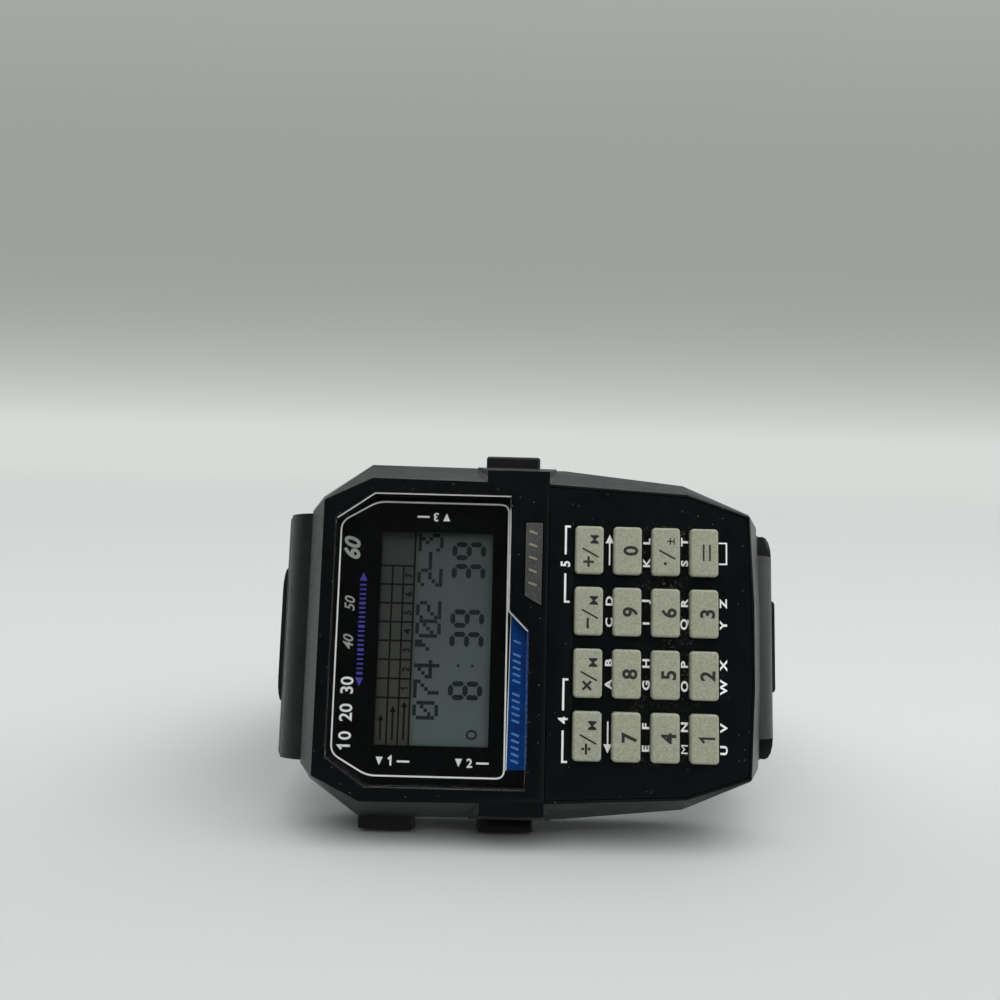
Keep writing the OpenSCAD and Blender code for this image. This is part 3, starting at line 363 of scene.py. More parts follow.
pusher_resin = moulded("pusher resin", rgb(6, 7, 8), rgb(14, 15, 16), rough=(0.3, 0.4), depth=0.2,
                       dust_share=0.03, level=0.25)
key_resin = moulded("key resin", rgb(137, 139, 121), rgb(168, 170, 151), rough=(0.5, 0.6), depth=0.35,
                    size=9000.0, dust_share=0.6, dust_colour=rgb(118, 116, 96), spacing=9000.0,
                    speck=0.26, mottle_size=4200.0)
white_print = moulded("white print", rgb(236, 237, 234), rgb(252, 252, 250), rough=(0.5, 0.6), depth=0.1)
grey_print = moulded("grey print", rgb(150, 152, 146), rgb(176, 178, 170), rough=(0.5, 0.6), depth=0.1)
key_ink = moulded("key ink", rgb(14, 14, 15), rgb(28, 28, 28), rough=(0.5, 0.6), depth=0.2)
violet_print = moulded("violet print", rgb(58, 54, 150), rgb(78, 72, 186), rough=(0.5, 0.6), depth=0.1)
pale_print = moulded("pale blue print", rgb(66, 122, 190), rgb(92, 148, 214), rough=(0.5, 0.6), depth=0.1)
mask_print = moulded("mask print", rgb(1, 2, 3), rgb(3, 4, 6), rough=(0.3, 0.4), depth=0.05, level=0.1)
tag_blue = moulded("tag blue", rgb(0, 50, 112), rgb(1, 66, 142), rough=(0.45, 0.55), depth=0.2,
                   mottle_size=500.0, level=0.1)
light_grey = moulded("light key grey", rgb(48, 50, 50), rgb(70, 71, 70), rough=(0.34, 0.46), depth=0.5,
                     size=9000.0, dust_share=0.3, dust_colour=rgb(120, 116, 98), spacing=4000.0,
                     speck=0.2)
mark_grey = moulded("light key marks", rgb(112, 108, 88), rgb(138, 134, 112), rough=(0.4, 0.5), depth=0.4,
                    size=9000.0)
# Painted highlight: a pale tone for the glass chamfer's faces that look towards the lamp and the table.
painted_highlight_edge = moulded("glass edge painted highlight", rgb(176, 180, 180), rgb(214, 216, 216), rough=(0.3, 0.5),
                      depth=0.3, size=9000.0)
print("materials so far:", len(bpy.data.materials))

# %% [markdown]
# Some finishes change along the watch or along the table. Two helpers serve them: one splits a point's
# coordinates into x, y and z, and one turns such a value into a smooth step between two places. A mask
# image would need unwrapping, and coordinates don't.

# %% Helpers: steps along an axis


def split_coordinates(tree, kind="Object"):
    where = add(tree, "ShaderNodeTexCoord")
    parts = add(tree, "ShaderNodeSeparateXYZ")
    join(tree, where, kind, parts, "Vector")
    return parts


def smooth_step(tree, source, output, start, end, low=0.0, high=1.0):
    """Goes smoothly from low to high while the source's output goes from start to end."""
    step = add(tree, "ShaderNodeMapRange", interpolation_type="SMOOTHSTEP",
               From_Min=start, From_Max=end, To_Min=low, To_Max=high)
    join(tree, source, output, step, "Value")
    return step


print("step helpers:", [helper.__name__ for helper in (split_coordinates, smooth_step)])

# %% [markdown]
# A calculator watch collects crumbs where fingers can't wipe: between the keys, most of all near their
# third and fourth rows. So the panel's print gets a second, finer dust. Two steps along the watch say
# where it starts and ends, a third keeps it off the panel's sides, and all of them are multiplied.

# %% Grime between the keys
GRIME_STARTS = (8.0, 14.5)
GRIME_ENDS = (17.6, 15.6)
GRIME_REACH = (0.0126, 0.0116)
tree = panel_print.node_tree
shader = tree.nodes["Principled BSDF"]
clean_print = shader.inputs["Base Color"].links[0].from_socket
crumbs = place_group(tree, dust, Spacing=4600.0, Speck=0.42, Share=0.5)
patches = place_group(tree, mottle, Size=700.0, Low=-0.6, High=1.0)
parts = split_coordinates(tree)
rise, drop = [smooth_step(tree, parts, "X", place(start, 0, 0).x, place(end, 0, 0).x)
              for start, end in (GRIME_STARTS, GRIME_ENDS)]
height = add(tree, "ShaderNodeMath", operation="SUBTRACT")
height.inputs[1].default_value = place(0, 0, 0).z
off_centre = add(tree, "ShaderNodeMath", operation="ABSOLUTE")
join(tree, parts, "Z", height, 0)
join(tree, height, "Value", off_centre, 0)
reach = smooth_step(tree, off_centre, "Value", *GRIME_REACH)
amount = (rise, "Result")
for factor in ((drop, "Result"), (patches, "Tone"), (crumbs, "Mask"), (reach, "Result")):
    times = add(tree, "ShaderNodeMath", operation="MULTIPLY", use_clamp=True)
    join(tree, *amount, times, 0)
    join(tree, *factor, times, 1)
    amount = (times, "Value")
grimy = mix_colours(tree, rgb(0, 0, 0), rgb(96, 90, 64))
tree.links.new(clean_print, grimy.inputs["A"])
join(tree, *amount, grimy, "Factor")
join(tree, grimy, "Result", shader, "Base Color")
print("panel print nodes:", len(tree.nodes))

# %% [markdown]
# The display shows dark liquid crystal segments over a grey-green reflector, under polarising film. Its
# 12 o'clock third is browner, where the film covers a printed week table. The colour turns from one tone
# to the other over a short stretch of x, and it is painted a little darker upwards: a painted shade, as
# the recessed display lies in the shade of the window's upper edge. Slow clouds keep it from looking like
# paper.

# %% Finishes of the display


def display_finish(name, green, brown, edge, soft):
    material, tree, shader = new_finish(name)
    parts = split_coordinates(tree)
    turn_over = add(tree, "ShaderNodeMapRange", From_Min=place(edge - soft, 0, 0).x,
                    From_Max=place(edge + soft, 0, 0).x)
    # Painted shade: the colour is mixed towards a darker tone upwards, standing in for shade under the
    # window's edge.
    painted_shade_climb = add(tree, "ShaderNodeMapRange", From_Min=place(0, 0, -9).z, From_Max=place(0, 0, 12).z,
                To_Max=0.55)
    clouds = place_group(tree, mottle, Size=110.0, Low=0.0, High=0.3)
    tones = mix_colours(tree, brown, green)
    cloudy = mix_colours(tree, green, rgb(54, 57, 52))
    shade = mix_colours(tree, green, rgb(40, 47, 46))
    join(tree, parts, "X", turn_over, "Value")
    join(tree, parts, "Z", painted_shade_climb, "Value")
    join(tree, turn_over, "Result", tones, "Factor")
    join(tree, tones, "Result", cloudy, "A")
    join(tree, clouds, "Tone", cloudy, "Factor")
    join(tree, cloudy, "Result", shade, "A")
    join(tree, painted_shade_climb, "Result", shade, "Factor")
    join(tree, shade, "Result", shader, "Base Color")
    uneven_sheen(tree, shader, 900.0, 0.3, 0.4)
    return material


display_face = display_finish("display face", rgb(88, 101, 100), rgb(60, 61, 55), -12.6, 0.4)
segment_ink = moulded("liquid crystal", rgb(24, 31, 31), rgb(34, 41, 41), rough=(0.3, 0.4), depth=0.05,
                      level=0.2)
table_ink = moulded("table ink", rgb(7, 8, 8), rgb(14, 15, 15), rough=(0.3, 0.4), depth=0.05, level=0.2)
print("display finishes:", [finish.name for finish in (display_face, segment_ink, table_ink)])

# %% [markdown]
# The crystal is clear acrylic or mineral glass with faint smears. A transmitting Principled shader bends
# the view as glass does, but it would also throw a black shadow on the display. So Light Path lets shadow
# rays pass straight through, which keeps the display lit.

# %% Finish of the glass


def clear_glass(name, tint, smear):
    material, tree, shader = new_finish(name)
    shader.inputs["Base Color"].default_value = tint
    shader.inputs["Transmission Weight"].default_value = 1
    shader.inputs["IOR"].default_value = 1.49
    uneven_sheen(tree, shader, 260.0, 0.0, smear)
    let_through = add(tree, "ShaderNodeBsdfTransparent")
    rays = add(tree, "ShaderNodeLightPath")
    either = add(tree, "ShaderNodeMixShader")
    join(tree, rays, "Is Shadow Ray", either, 0)
    join(tree, shader, "BSDF", either, 1)
    join(tree, let_through, "BSDF", either, 2)
    join(tree, either, "Shader", tree.nodes["Material Output"], "Surface")
    return material


window_glass = clear_glass("window glass", (0.97, 0.98, 0.98, 1), 0.035)
print("glass bends light by", window_glass.node_tree.nodes["Principled BSDF"].inputs["IOR"].default_value)

# %% [markdown]
# Most inner parts are never seen, but the model can be taken apart, so each gets the finish of its own
# stuff: green board, gold-coloured brass, grey rubber, nickel-plated steel. The CAD meshes are already
# right for them, so only their material slots change.

# %% Finishes of the inside
steel = metal("brushed steel", rgb(150, 152, 154), rgb(196, 197, 198))
polished = metal("polished steel", rgb(176, 177, 178), rgb(205, 205, 205), rough=(0.12, 0.22), depth=0.05)
brass = metal("brass", rgb(176, 140, 70), rgb(208, 172, 96), rough=(0.25, 0.35))
inside = {
    "crystal_gasket": moulded("gasket rubber", rgb(14, 14, 15), rgb(26, 26, 27), rough=(0.6, 0.7)),
    "lcd_cell": moulded("cell glass", rgb(92, 100, 94), rgb(104, 112, 106), rough=(0.15, 0.25), depth=0.03),
    "lcd_reflector": metal("reflector foil", rgb(170, 174, 168), rgb(196, 198, 192), rough=(0.45, 0.6)),
    "backlight_panel": moulded("backlight film", rgb(150, 186, 176), rgb(170, 204, 192), rough=(0.4, 0.5)),
    "connector_strips": moulded("striped rubber", rgb(96, 98, 104), rgb(150, 150, 152), size=16000.0),
    "module_frame": moulded("frame plastic", rgb(206, 204, 192), rgb(222, 220, 210), rough=(0.45, 0.55)),
    "key_mat": moulded("mat rubber", rgb(64, 66, 70), rgb(84, 86, 88), rough=(0.6, 0.7)),
    "circuit_board": moulded("board green", rgb(16, 78, 42), rgb(30, 104, 60), rough=(0.35, 0.5),
                             mottle_size=1800.0),
    "main_chip": moulded("chip epoxy", rgb(10, 10, 11), rgb(22, 22, 23), rough=(0.3, 0.5)),
    "quartz_can": polished,
    "backlight_coil": metal("coil wire", rgb(150, 84, 40), rgb(190, 118, 62), across=20000.0),
    "battery_holder": moulded("holder plastic", rgb(196, 196, 186), rgb(214, 214, 204)),
    "battery": metal("cell steel", rgb(186, 187, 188), rgb(208, 208, 208), rough=(0.18, 0.3)),
    "battery_clip": steel,
    "insulator_sheet": moulded("insulator film", rgb(186, 142, 62), rgb(206, 166, 84), rough=(0.25, 0.35)),
    "buzzer_disc": brass,
    "buzzer_spring": metal("spring steel", rgb(176, 160, 120), rgb(204, 190, 150)),
    "side_contacts": brass,
    "module_screws": polished,
    "back_gasket": moulded("gasket cord", rgb(16, 16, 16), rgb(30, 30, 30), rough=(0.6, 0.7)),
    "button_seals": moulded("seal rubber", rgb(14, 14, 14), rgb(26, 26, 26), rough=(0.55, 0.65)),
    "adjust_clip": polished,
    "mode_clip": polished,
    "clear_clip": polished,
    "spring_bar_12": steel,
    "spring_bar_6": steel,
    "buckle_pin": steel,
    "display_mask": mask_print,
    "case_back_screws": polished,
}
for node_name, material in inside.items():
    node_mesh = frame["nodes"][node_name].data
    node_mesh.materials.clear()
    node_mesh.materials.append(material)
print("inner nodes with their own finish:", len(inside))

# %% [markdown]
# New pieces are drawn as a bmesh in the watch's millimetres. One helper turns each into an object: it
# takes the shape to its place, gives it its materials, smooths it up to an angle, and says which body it
# rides on. Beside a bevel, smooth shading would tilt a wide face, so even=True weighs the normals by area.

# %% Helper: a finished piece


def finish_piece(bm, name, finishes, body, slot, smooth=40, even=False):
    """Turns a bmesh in watch millimetres into a piece that rides on a body."""
    bm.transform(WATCH)
    mesh = bpy.data.meshes.new(name)
    bm.to_mesh(mesh)
    bm.free()
    for material in finishes if isinstance(finishes, list) else [finishes]:
        mesh.materials.append(material)
    mesh.shade_smooth()
    mesh.set_sharp_from_angle(angle=math.radians(smooth))
    piece = bpy.data.objects.new(name, mesh)
    bpy.context.scene.collection.objects.link(piece)
    if even:
        keep_flat = piece.modifiers.new("flat faces stay flat", "WEIGHTED_NORMAL")
        keep_flat.keep_sharp = True
    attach(piece, body)
    return piece


print("piece helper:", finish_piece.__name__)

# %% [markdown]
# A moulded part never has a knife edge. The outer pieces are therefore copied from their CAD meshes, the
# copy's doubled points are merged, its flat faces are joined again, and its sharp edges get a real bevel.
# A bevel modifier would do the same, but working on chosen edges keeps the small inner steps as they are.

# %% Helper: rounded copies


def rounded_copy(node_name, radius, pick=None, angle=24, segments=3, edge_slot=0):
    """A bmesh of a CAD node in watch millimetres, with its sharp edges bevelled where pick says so."""
    bm = bmesh.new()
    bm.from_mesh(frame["nodes"][node_name].data)
    bm.transform(TO_WATCH)
    bmesh.ops.remove_doubles(bm, verts=bm.verts, dist=0.002)
    bmesh.ops.dissolve_limit(bm, angle_limit=math.radians(0.6), verts=bm.verts, edges=bm.edges)
    sharp = [e for e in bm.edges
             if len(e.link_faces) == 2 and e.calc_face_angle() > math.radians(angle)
             and (pick is None or pick(e))]
    made = bmesh.ops.bevel(bm, geom=sharp, offset=radius, offset_type="OFFSET", segments=segments,
                           profile=0.5, affect="EDGES", clamp_overlap=True, material=-1)
    for face in made["faces"]:
        face.material_index = edge_slot
    return bm


def middle(edge):
    return (edge.verts[0].co + edge.verts[1].co) / 2


print("rounding helpers:", [helper.__name__ for helper in (rounded_copy, middle)])

# %% [markdown]
# The case is the piece that the light shows most. Its upper bevels catch the lamp as clear grey bands,
# which is what makes the black resin readable at all. Only the outer edges are rounded; the seats of the
# glass and of the panel stay crisp, as a mould makes them.

# %% Case, keypad panel and back cover
INSIDE_X = 20.4
INSIDE_Z = 14.9


def outer_edge(edge):
    at = middle(edge)
    inside_case = abs(at.x) < INSIDE_X and abs(at.z) < INSIDE_Z and at.y > -0.2
    return not inside_case and edge.calc_length() > 0.5 and edge.is_convex


# The bevel faces take the pale bevel finish, which also paints a highlight on every outer edge.
case_copy = rounded_copy("case_body", 0.16, outer_edge, edge_slot=2)
for face in case_copy.faces:
    if face.normal.y < -0.97 and face.material_index == 0:
        face.material_index = 1
case_piece = finish_piece(case_copy, "case_moulding", [case_resin, face_resin, worn_edge_and_highlight], "case",
                          "case_resin", even=True)
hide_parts("case_body")
panel_copy = rounded_copy("keypad_panel", 0.05, lambda e: middle(e).y < 0.1, segments=2)
panel_piece = finish_piece(panel_copy, "panel_moulding", panel_print, "case", "panel_print", smooth=20)
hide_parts("keypad_panel")
back_copy = rounded_copy("case_back", 0.12, lambda e: middle(e).y > 10.2, segments=2)
back_piece = finish_piece(back_copy, "back_plate", steel, "case", "steel", even=True)
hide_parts("case_back")
print("case faces:", len(case_piece.data.polygons))

# %% [markdown]
# The keys are beige resin with softened tops. Their flanges and plungers stay sharp inside the case, so
# only the edges above the panel are rounded, with more segments, because a finger and the eye both meet
# them first.

# %% Keys
KEYS = [
    ["divide", "7", "4", "1"],
    ["times", "8", "5", "2"],
    ["minus", "9", "6", "3"],
    ["plus", "0", "point", "equals"],
]
KEY_X = (5.55, 9.55, 13.55, 17.55)
KEY_Z = (-9.534, -3.178, 3.178, 9.534)
KEY_TOP = -0.75
for column in KEYS:
    for label in column:
        cap = rounded_copy("key_" + label, 0.26, lambda e: middle(e).y < KEY_TOP + 0.05, segments=4)
        piece = finish_piece(cap, "key_cap_" + label, key_resin, "key_" + label, "key_cream", even=True)
        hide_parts("key_" + label)
print("keys:", sum(len(column) for column in KEYS))

# %% [markdown]
# The light key is a flat grey bar in the face. The three side pushers are black resin blocks that a finger
# pushes in, so the ends that stand out of the case are well rounded. Rounding every edge would be simpler,
# but it would also change the stems inside, so only edges far from the middle line are chosen.

# %% Front light key and side pushers
PUSHER_END = 18
lamp_key = rounded_copy("light_button", 0.08, lambda e: middle(e).y < 0)
piece = finish_piece(lamp_key, "light_key", light_grey, "light_button", "light_bar", even=True)
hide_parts("light_button")
for side_button in ("adjust", "mode", "clear"):
    pusher = rounded_copy(side_button + "_button", 0.3, lambda e: abs(middle(e).z) > PUSHER_END, segments=4)
    piece = finish_piece(pusher, side_button + "_pusher", pusher_resin, side_button + "_button",
                         "case_resin", even=True)
    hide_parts(side_button + "_button")

# %% [markdown]
# The strap is soft resin, moulded in its worn curve, so its edges only get a very small radius. A larger
# angle keeps the bevel off the many slight bends along the curve. The buckle is bent and stamped steel
# with tumbled edges, and the keeper is a resin loop like the strap.

# %% Strap, buckle and keeper
for end in ("12", "6"):
    band = rounded_copy("strap_" + end, 0.12, lambda e: e.calc_length() > 0.25, angle=50, segments=2)
    piece = finish_piece(band, "strap_band_" + end, strap_resin, "strap_" + end, "strap_resin", smooth=50,
                         even=True)
    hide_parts("strap_" + end)
loop = finish_piece(rounded_copy("keeper", 0.25), "keeper_loop", strap_resin, "keeper", "strap_resin",
                    even=True)
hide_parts("keeper")
buckle = finish_piece(rounded_copy("buckle_frame", 0.25), "buckle_loop", steel, "buckle_frame", "steel",
                      even=True)
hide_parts("buckle_frame")
prong = finish_piece(rounded_copy("buckle_tongue", 0.15), "tongue_bar", steel, "buckle_tongue", "steel",
                     even=True)
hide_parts("buckle_tongue")
print("strap and buckle pieces:", [p.name for p in (loop, buckle, prong)])

# %% [markdown]
# The glass is a clear slab with a narrow chamfer round its front. Along its upper side and its lower left
# corner the chamfer gets a pale colour: a painted highlight where it faces the lamp above and the bright
# table at the lower left. A ring of its own could carry that colour, but choosing the chamfer's faces by
# their direction needs no new shape.

# %% Glass
chamfer = rounded_copy("crystal", 0.22, lambda e: middle(e).y < 0.15, segments=2)
# The chamfer's upward and lower-left faces take the painted highlight.
for face in chamfer.faces:
    slanted_face = face.calc_center_median().y < 0.3 and -0.97 < face.normal.y < -0.05
    on_top = face.normal.z > 0.25
    on_corner = face.normal.x < -0.25 and face.normal.z < -0.25
    face.material_index = 1 if slanted_face and (on_top or on_corner) else 0
glass_piece = finish_piece(chamfer, "glass", [window_glass, painted_highlight_edge], "case", "crystal_glass", smooth=15)
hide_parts("crystal")
print("painted highlight faces:", sum(face.material_index == 1 for face in glass_piece.data.polygons))

# %% [markdown]
# Print is a film of ink, a hair thick. An image with a mask would show it, but a real shape can also be
# exported. Two helpers start it: one turns flat faces to the front and gives them their depth, and one
# fills an outline that may have holes in it.

# %% Helpers: flat shapes


def thicken(bm, faces, thickness):
    """Turns flat faces to the front and extrudes them backwards."""
    for face in faces:
        face.normal_update()
        if face.normal.y > 0:
            face.normal_flip()
    grown = bmesh.ops.extrude_face_region(bm, geom=faces)
    moved = [g for g in grown["geom"] if isinstance(g, bmesh.types.BMVert)]
    bmesh.ops.translate(bm, verts=moved, vec=(0, thickness, 0))


def sheet(bm, outlines, y, thickness):
    """A flat sheet in x and z. The first outline is its edge, and the others are holes."""
    edges = []
    for outline in outlines:
        corners = [bm.verts.new((x, y, z)) for x, z in outline]
        edges += [bm.edges.new((a, b)) for a, b in zip(corners, corners[1:] + corners[:1])]
    filled = bmesh.ops.triangle_fill(bm, use_beauty=True, use_dissolve=False, edges=edges)
    thicken(bm, [g for g in filled["geom"] if isinstance(g, bmesh.types.BMFace)], thickness)
    return bm


def box_outline(low, high):
    return [(low[0], low[1]), (high[0], low[1]), (high[0], high[1]), (low[0], high[1])]


print("a box outline:", box_outline((0, 0), (2, 1)))

# %% [markdown]
# The glass is printed black on its rear side, with the display window and the coloured tag left open. The
# print could be a mask in the glass's material, but a thin sheet of its own behind the glass keeps the
# glass clear and hides the gaskets and the module.

# %% Print behind the glass
GLASS_BACK = 1.65
WINDOW = ((-16.36, -11.1), (-4.53, 11.1))
glass_edge = [
    (-21.2, -12.4), (-17.2, -15.2), (-0.55, -15.2), (-0.55, 1.0), (-2.6, 3.05), (-2.6, 15.2),
    (-17.2, 15.2), (-21.2, 12.4),
]
tag_window = [(-2.7, -13.36), (-0.65, -13.3), (-0.65, 0.9), (-2.5, 2.75)]
print_sheet = sheet(bmesh.new(), [glass_edge, box_outline(*WINDOW), tag_window], GLASS_BACK + 0.01, 0.01)
bmesh.ops.recalc_face_normals(print_sheet, faces=print_sheet.faces)
finish_piece(print_sheet, "glass_print", mask_print, "case", "mask_black", smooth=30)
tag = frame["nodes"]["accent_plate"].data
tag.materials.clear()
tag.materials.append(tag_blue)

# %% [markdown]
# Printed lines are thin ribbons. A ribbon along a path of points is quick to build: each point moves half
# a width to both sides, square to the path, and the gaps between are bridged by faces. A plate is simply
# a filled outline, for arrow heads and dots.

# %% Helpers: ribbons and plates


def ribbon(bm, path, width, y, closed=False, thickness=0.012):
    """A flat line of even width along a path in x and z."""
    count = len(path)
    left, right = [], []
    for i, here in enumerate(path):
        before = path[i - 1] if closed or i > 0 else here
        after = path[(i + 1) % count] if closed or i < count - 1 else here
        ways = [Vector((b[0] - a[0], b[1] - a[1])) for a, b in ((before, here), (here, after)) if a != b]
        ways = [w.normalized() for w in ways]
        middle_way = sum(ways, Vector((0, 0))).normalized()
        square = Vector((-middle_way.y, middle_way.x))
        reach = width / 2 / max(0.4, abs(square.dot(Vector((-ways[0].y, ways[0].x)))))
        left.append(bm.verts.new((here[0] + square.x * reach, y, here[1] + square.y * reach)))
        right.append(bm.verts.new((here[0] - square.x * reach, y, here[1] - square.y * reach)))
    faces = []
    for i in range(count if closed else count - 1):
        k = (i + 1) % count
        faces.append(bm.faces.new((left[i], left[k], right[k], right[i])))
    thicken(bm, faces, thickness)


def plate(bm, outline, y, thickness=0.012):
    """A flat shape with its corners in x and z."""
    thicken(bm, [bm.faces.new([bm.verts.new((x, y, z)) for x, z in outline])], thickness)
    return bm


print("print helpers:", [helper.__name__ for helper in (ribbon, plate)])

# %% [markdown]
# A white line runs round the display just inside the glass's edge, with rounded corners. It is printed on
# the rear side too, so it lies a hair in front of the black print. Its right side runs along the left edge
# of the blue tag. A path with cut corners gives it at once, and it could be changed by moving one corner.

# %% White border line


def rounded_path(corners, radius, steps=6):
    """The closed path through corners, each cut by a smooth arc."""
    path = []
    count = len(corners)
    for i in range(count):
        here = Vector(corners[i])
        before = (Vector(corners[i - 1]) - here).normalized()
        after = (Vector(corners[(i + 1) % count]) - here).normalized()
        start, end = here + before * radius, here + after * radius
        for k in range(steps + 1):
            t = k / steps
            path.append(tuple((1 - t) ** 2 * start + 2 * t * (1 - t) * here + t * t * end))
    return path


border = bmesh.new()
border_corners = [
    (-20.75, -12.05), (-16.95, -14.2), (-2.8, -14.2), (-2.95, 14.27), (-16.95, 14.27), (-20.75, 12.05),
]
ribbon(border, rounded_path(border_corners, 0.9), 0.17, GLASS_BACK + 0.001, closed=True, thickness=0.006)
finish_piece(border, "glass_border_line", white_print, "case", "mask_black", smooth=30)

# %% [markdown]
# Legends are text objects turned into meshes, because a legend has to ride on its key and be exported as
# a real shape. All the letters of one colour on one body are joined. Only digits, signs, arrows and the
# plain alphabet are used.

# %% Helper: printed letters
UPWARDS = (Vector((0, 0, 1)), Vector((-1, 0, 0)))
LEVEL = (Vector((1, 0, 0)), Vector((0, 0, 1)))
TURNED = (Vector((-1, 0, 0)), Vector((0, 0, -1)))
TOWARDS = Vector((0, -1, 0))


def letters(bm, words, x, z, y, size, way=UPWARDS, bold=0.0, shear=0.0, wide=1.0, thickness=0.012):
    """Adds words, centred on x and z, with their front at y."""
    curve = bpy.data.curves.new("words", "FONT")
    curve.body = words
    curve.size = size
    curve.align_x = "CENTER"
    curve.align_y = "CENTER"
    curve.offset = bold
    curve.shear = shear
    curve.resolution_u = 3
    curve.extrude = thickness / 2
    shown = bpy.data.objects.new("words", curve)
    bpy.context.scene.collection.objects.link(shown)
    mesh = bpy.data.meshes.new_from_object(shown)
    low = Vector((min(v.co.x for v in mesh.vertices), min(v.co.y for v in mesh.vertices)))
    high = Vector((max(v.co.x for v in mesh.vertices), max(v.co.y for v in mesh.vertices)))
    centre = (low + high) / 2
    reading, up = way
    turned = Matrix((reading * wide, up, TOWARDS)).transposed().to_4x4()
    there = Matrix.Translation((x, y + thickness / 2, z))
    mesh.transform(there @ turned @ Matrix.Translation((-centre.x, -centre.y, 0)))
    bm.from_mesh(mesh)
    bpy.data.objects.remove(shown)
    bpy.data.curves.remove(curve)
    bpy.data.meshes.remove(mesh)


print("letters can read:", {"upwards": UPWARDS[0][:], "level": LEVEL[0][:], "turned": TURNED[0][:]})

# %% [markdown]
# The built-in font draws the figure 1 as a plain bar, which reads as a line beside other digits. One more
# font would be one more file, so this one figure is drawn as a ribbon: a stem and a short flag.

# %% Helper: a figure one with its flag


def figure_one(bm, x, z, y, high, thick, way=UPWARDS):
    """Adds a drawn figure 1, centred on x and z, with its front at y."""
    reading, up = way
    path = []
    for along, above in ((-0.24, 0.24), (0.06, 0.5), (0.06, -0.5)):
        at = Vector((x, 0, z)) + (along * reading + above * up) * high
        path.append((at.x, at.z))
    ribbon(bm, path, thick, y)


print("drawn figure:", figure_one.__name__)

# %% [markdown]
# The display is a face on the liquid crystal cell, with the dark shapes a few hundredths of a millimetre
# above it. A painted image would blur up close, and shapes stay sharp. Its 12 o'clock third is a printed
# week table: three rows, seven of its columns with a plain digit each, and an arrow into each row.

# %% Display face and week table
CELL_FRONT = 2.57
face = plate(bmesh.new(), box_outline((-16.9, -11.5), (-4.1, 11.5)), CELL_FRONT - 0.03, 0.02)
finish_piece(face, "display_face", display_face, "case", "lcd_glass", smooth=30)

INK_Y = CELL_FRONT - 0.05
table = bmesh.new()
ROW_X = (-16.5, -15.19, -14.02, -12.87)
DAY_Z = [-6.33 + 1.98 * i for i in range(8)]
for x in ROW_X[1:3]:
    ribbon(table, [(x, -11.4), (x, DAY_Z[-1])], 0.19, INK_Y)
ribbon(table, [(ROW_X[3], -11.4), (ROW_X[3], 11.4)], 0.2, INK_Y)
for z in DAY_Z:
    ribbon(table, [(ROW_X[0], z), (ROW_X[3], z)], 0.19, INK_Y)
for i, z in enumerate(DAY_Z[:-1]):
    if i == 0:
        figure_one(table, -13.42, z + 0.99, INK_Y, 0.75, 0.13)
    else:
        letters(table, str(i + 1), -13.42, z + 0.99, INK_Y, 1.05, bold=0.03)
for x, wide in zip((-15.85, -14.6, -13.42), (2.0, 2.9, 3.4)):
    ribbon(table, [(x, -10.7), (x, -10.7 + wide)], 0.22, INK_Y)
    tip = -10.1 + wide
    plate(table, [(x, tip), (x - 0.35, tip - 0.6), (x + 0.35, tip - 0.6)], INK_Y)
finish_piece(table, "week_table", table_ink, "case", "lcd_glass", smooth=30)
print("week table columns:", len(DAY_Z) - 1)

# %% [markdown]
# Seven bars make a digit in the time row, as in every liquid crystal clock. A digital font could be typed
# instead, but it would be one more file. So each digit is written as the letters of its lit bars, and a
# helper draws each bar with the pointed ends and narrow gaps of the real ones.

# %% Helper: seven-bar digits
BARS = {"0": "abcdef", "1": "bc", "2": "abged", "3": "abgcd", "4": "fgbc", "5": "afgcd",
        "6": "afgedc", "7": "abc", "8": "abcdefg", "9": "abcdfg"}


def bar_digit(bm, digit, z, base, wide, high, thick):
    """A seven-bar digit that reads upwards: u runs along +z from z, and v runs along -x from base."""
    gap = thick * 0.17

    def bar(u0, v0, u1, v1):
        flat = v0 == v1
        half = thick / 2
        if flat:
            shape = [(u0 + gap, v0), (u0 + half + gap, v0 + half), (u1 - half - gap, v0 + half),
                     (u1 - gap, v0), (u1 - half - gap, v0 - half), (u0 + half + gap, v0 - half)]
        else:
            shape = [(u0, v0 + gap), (u0 + half, v0 + half + gap), (u0 + half, v1 - half - gap),
                     (u0, v1 - gap), (u0 - half, v1 - half - gap), (u0 - half, v0 + half + gap)]
        plate(bm, [(base - v, z + u) for u, v in shape], INK_Y)

    u0, u1 = thick / 2, wide - thick / 2
    v0, v1, v2 = thick / 2, high / 2, high - thick / 2
    ends = {"a": (u0, v2, u1, v2), "b": (u1, v1, u1, v2), "c": (u1, v0, u1, v1), "d": (u0, v0, u1, v0),
            "e": (u0, v0, u0, v1), "f": (u0, v1, u0, v2), "g": (u0, v1, u1, v1)}
    for letter in BARS[digit]:
        bar(*ends[letter])


print("digits that can be shown:", "".join(BARS))

# %% [markdown]
# The time row is one large digit for the hour and two pairs after it, a little apart. Two small round dots
# follow the hour, and a small ring stands before it. Another time needs only other digits in the list.

# %% Time row
time_row = bmesh.new()
for digit, z in (("8", -6.4), ("3", -1.25), ("9", 1.12), ("3", 5.95), ("9", 8.3)):
    bar_digit(time_row, digit, z, -5.3, 1.95, 3.6, 0.54)
for x in (-7.9, -6.4):
    plate(time_row, [(x + 0.16 * math.cos(t * math.pi / 4), -2.85 + 0.16 * math.sin(t * math.pi / 4))
                     for t in range(8)], INK_Y)
ring = [(-6.3 + 0.5 * math.cos(t * math.pi / 6), -9.95 + 0.42 * math.sin(t * math.pi / 6)) for t in range(12)]
ribbon(time_row, ring, 0.2, INK_Y, closed=True)
finish_piece(time_row, "time_digits", segment_ink, "case", "lcd_glass", smooth=30)

# %% [markdown]
# The date row is a grid of small square dots, five wide and seven high for each sign. It could be a
# texture, but real dots keep their sharp corners at any distance. A 1 in a pattern is a dark dot.

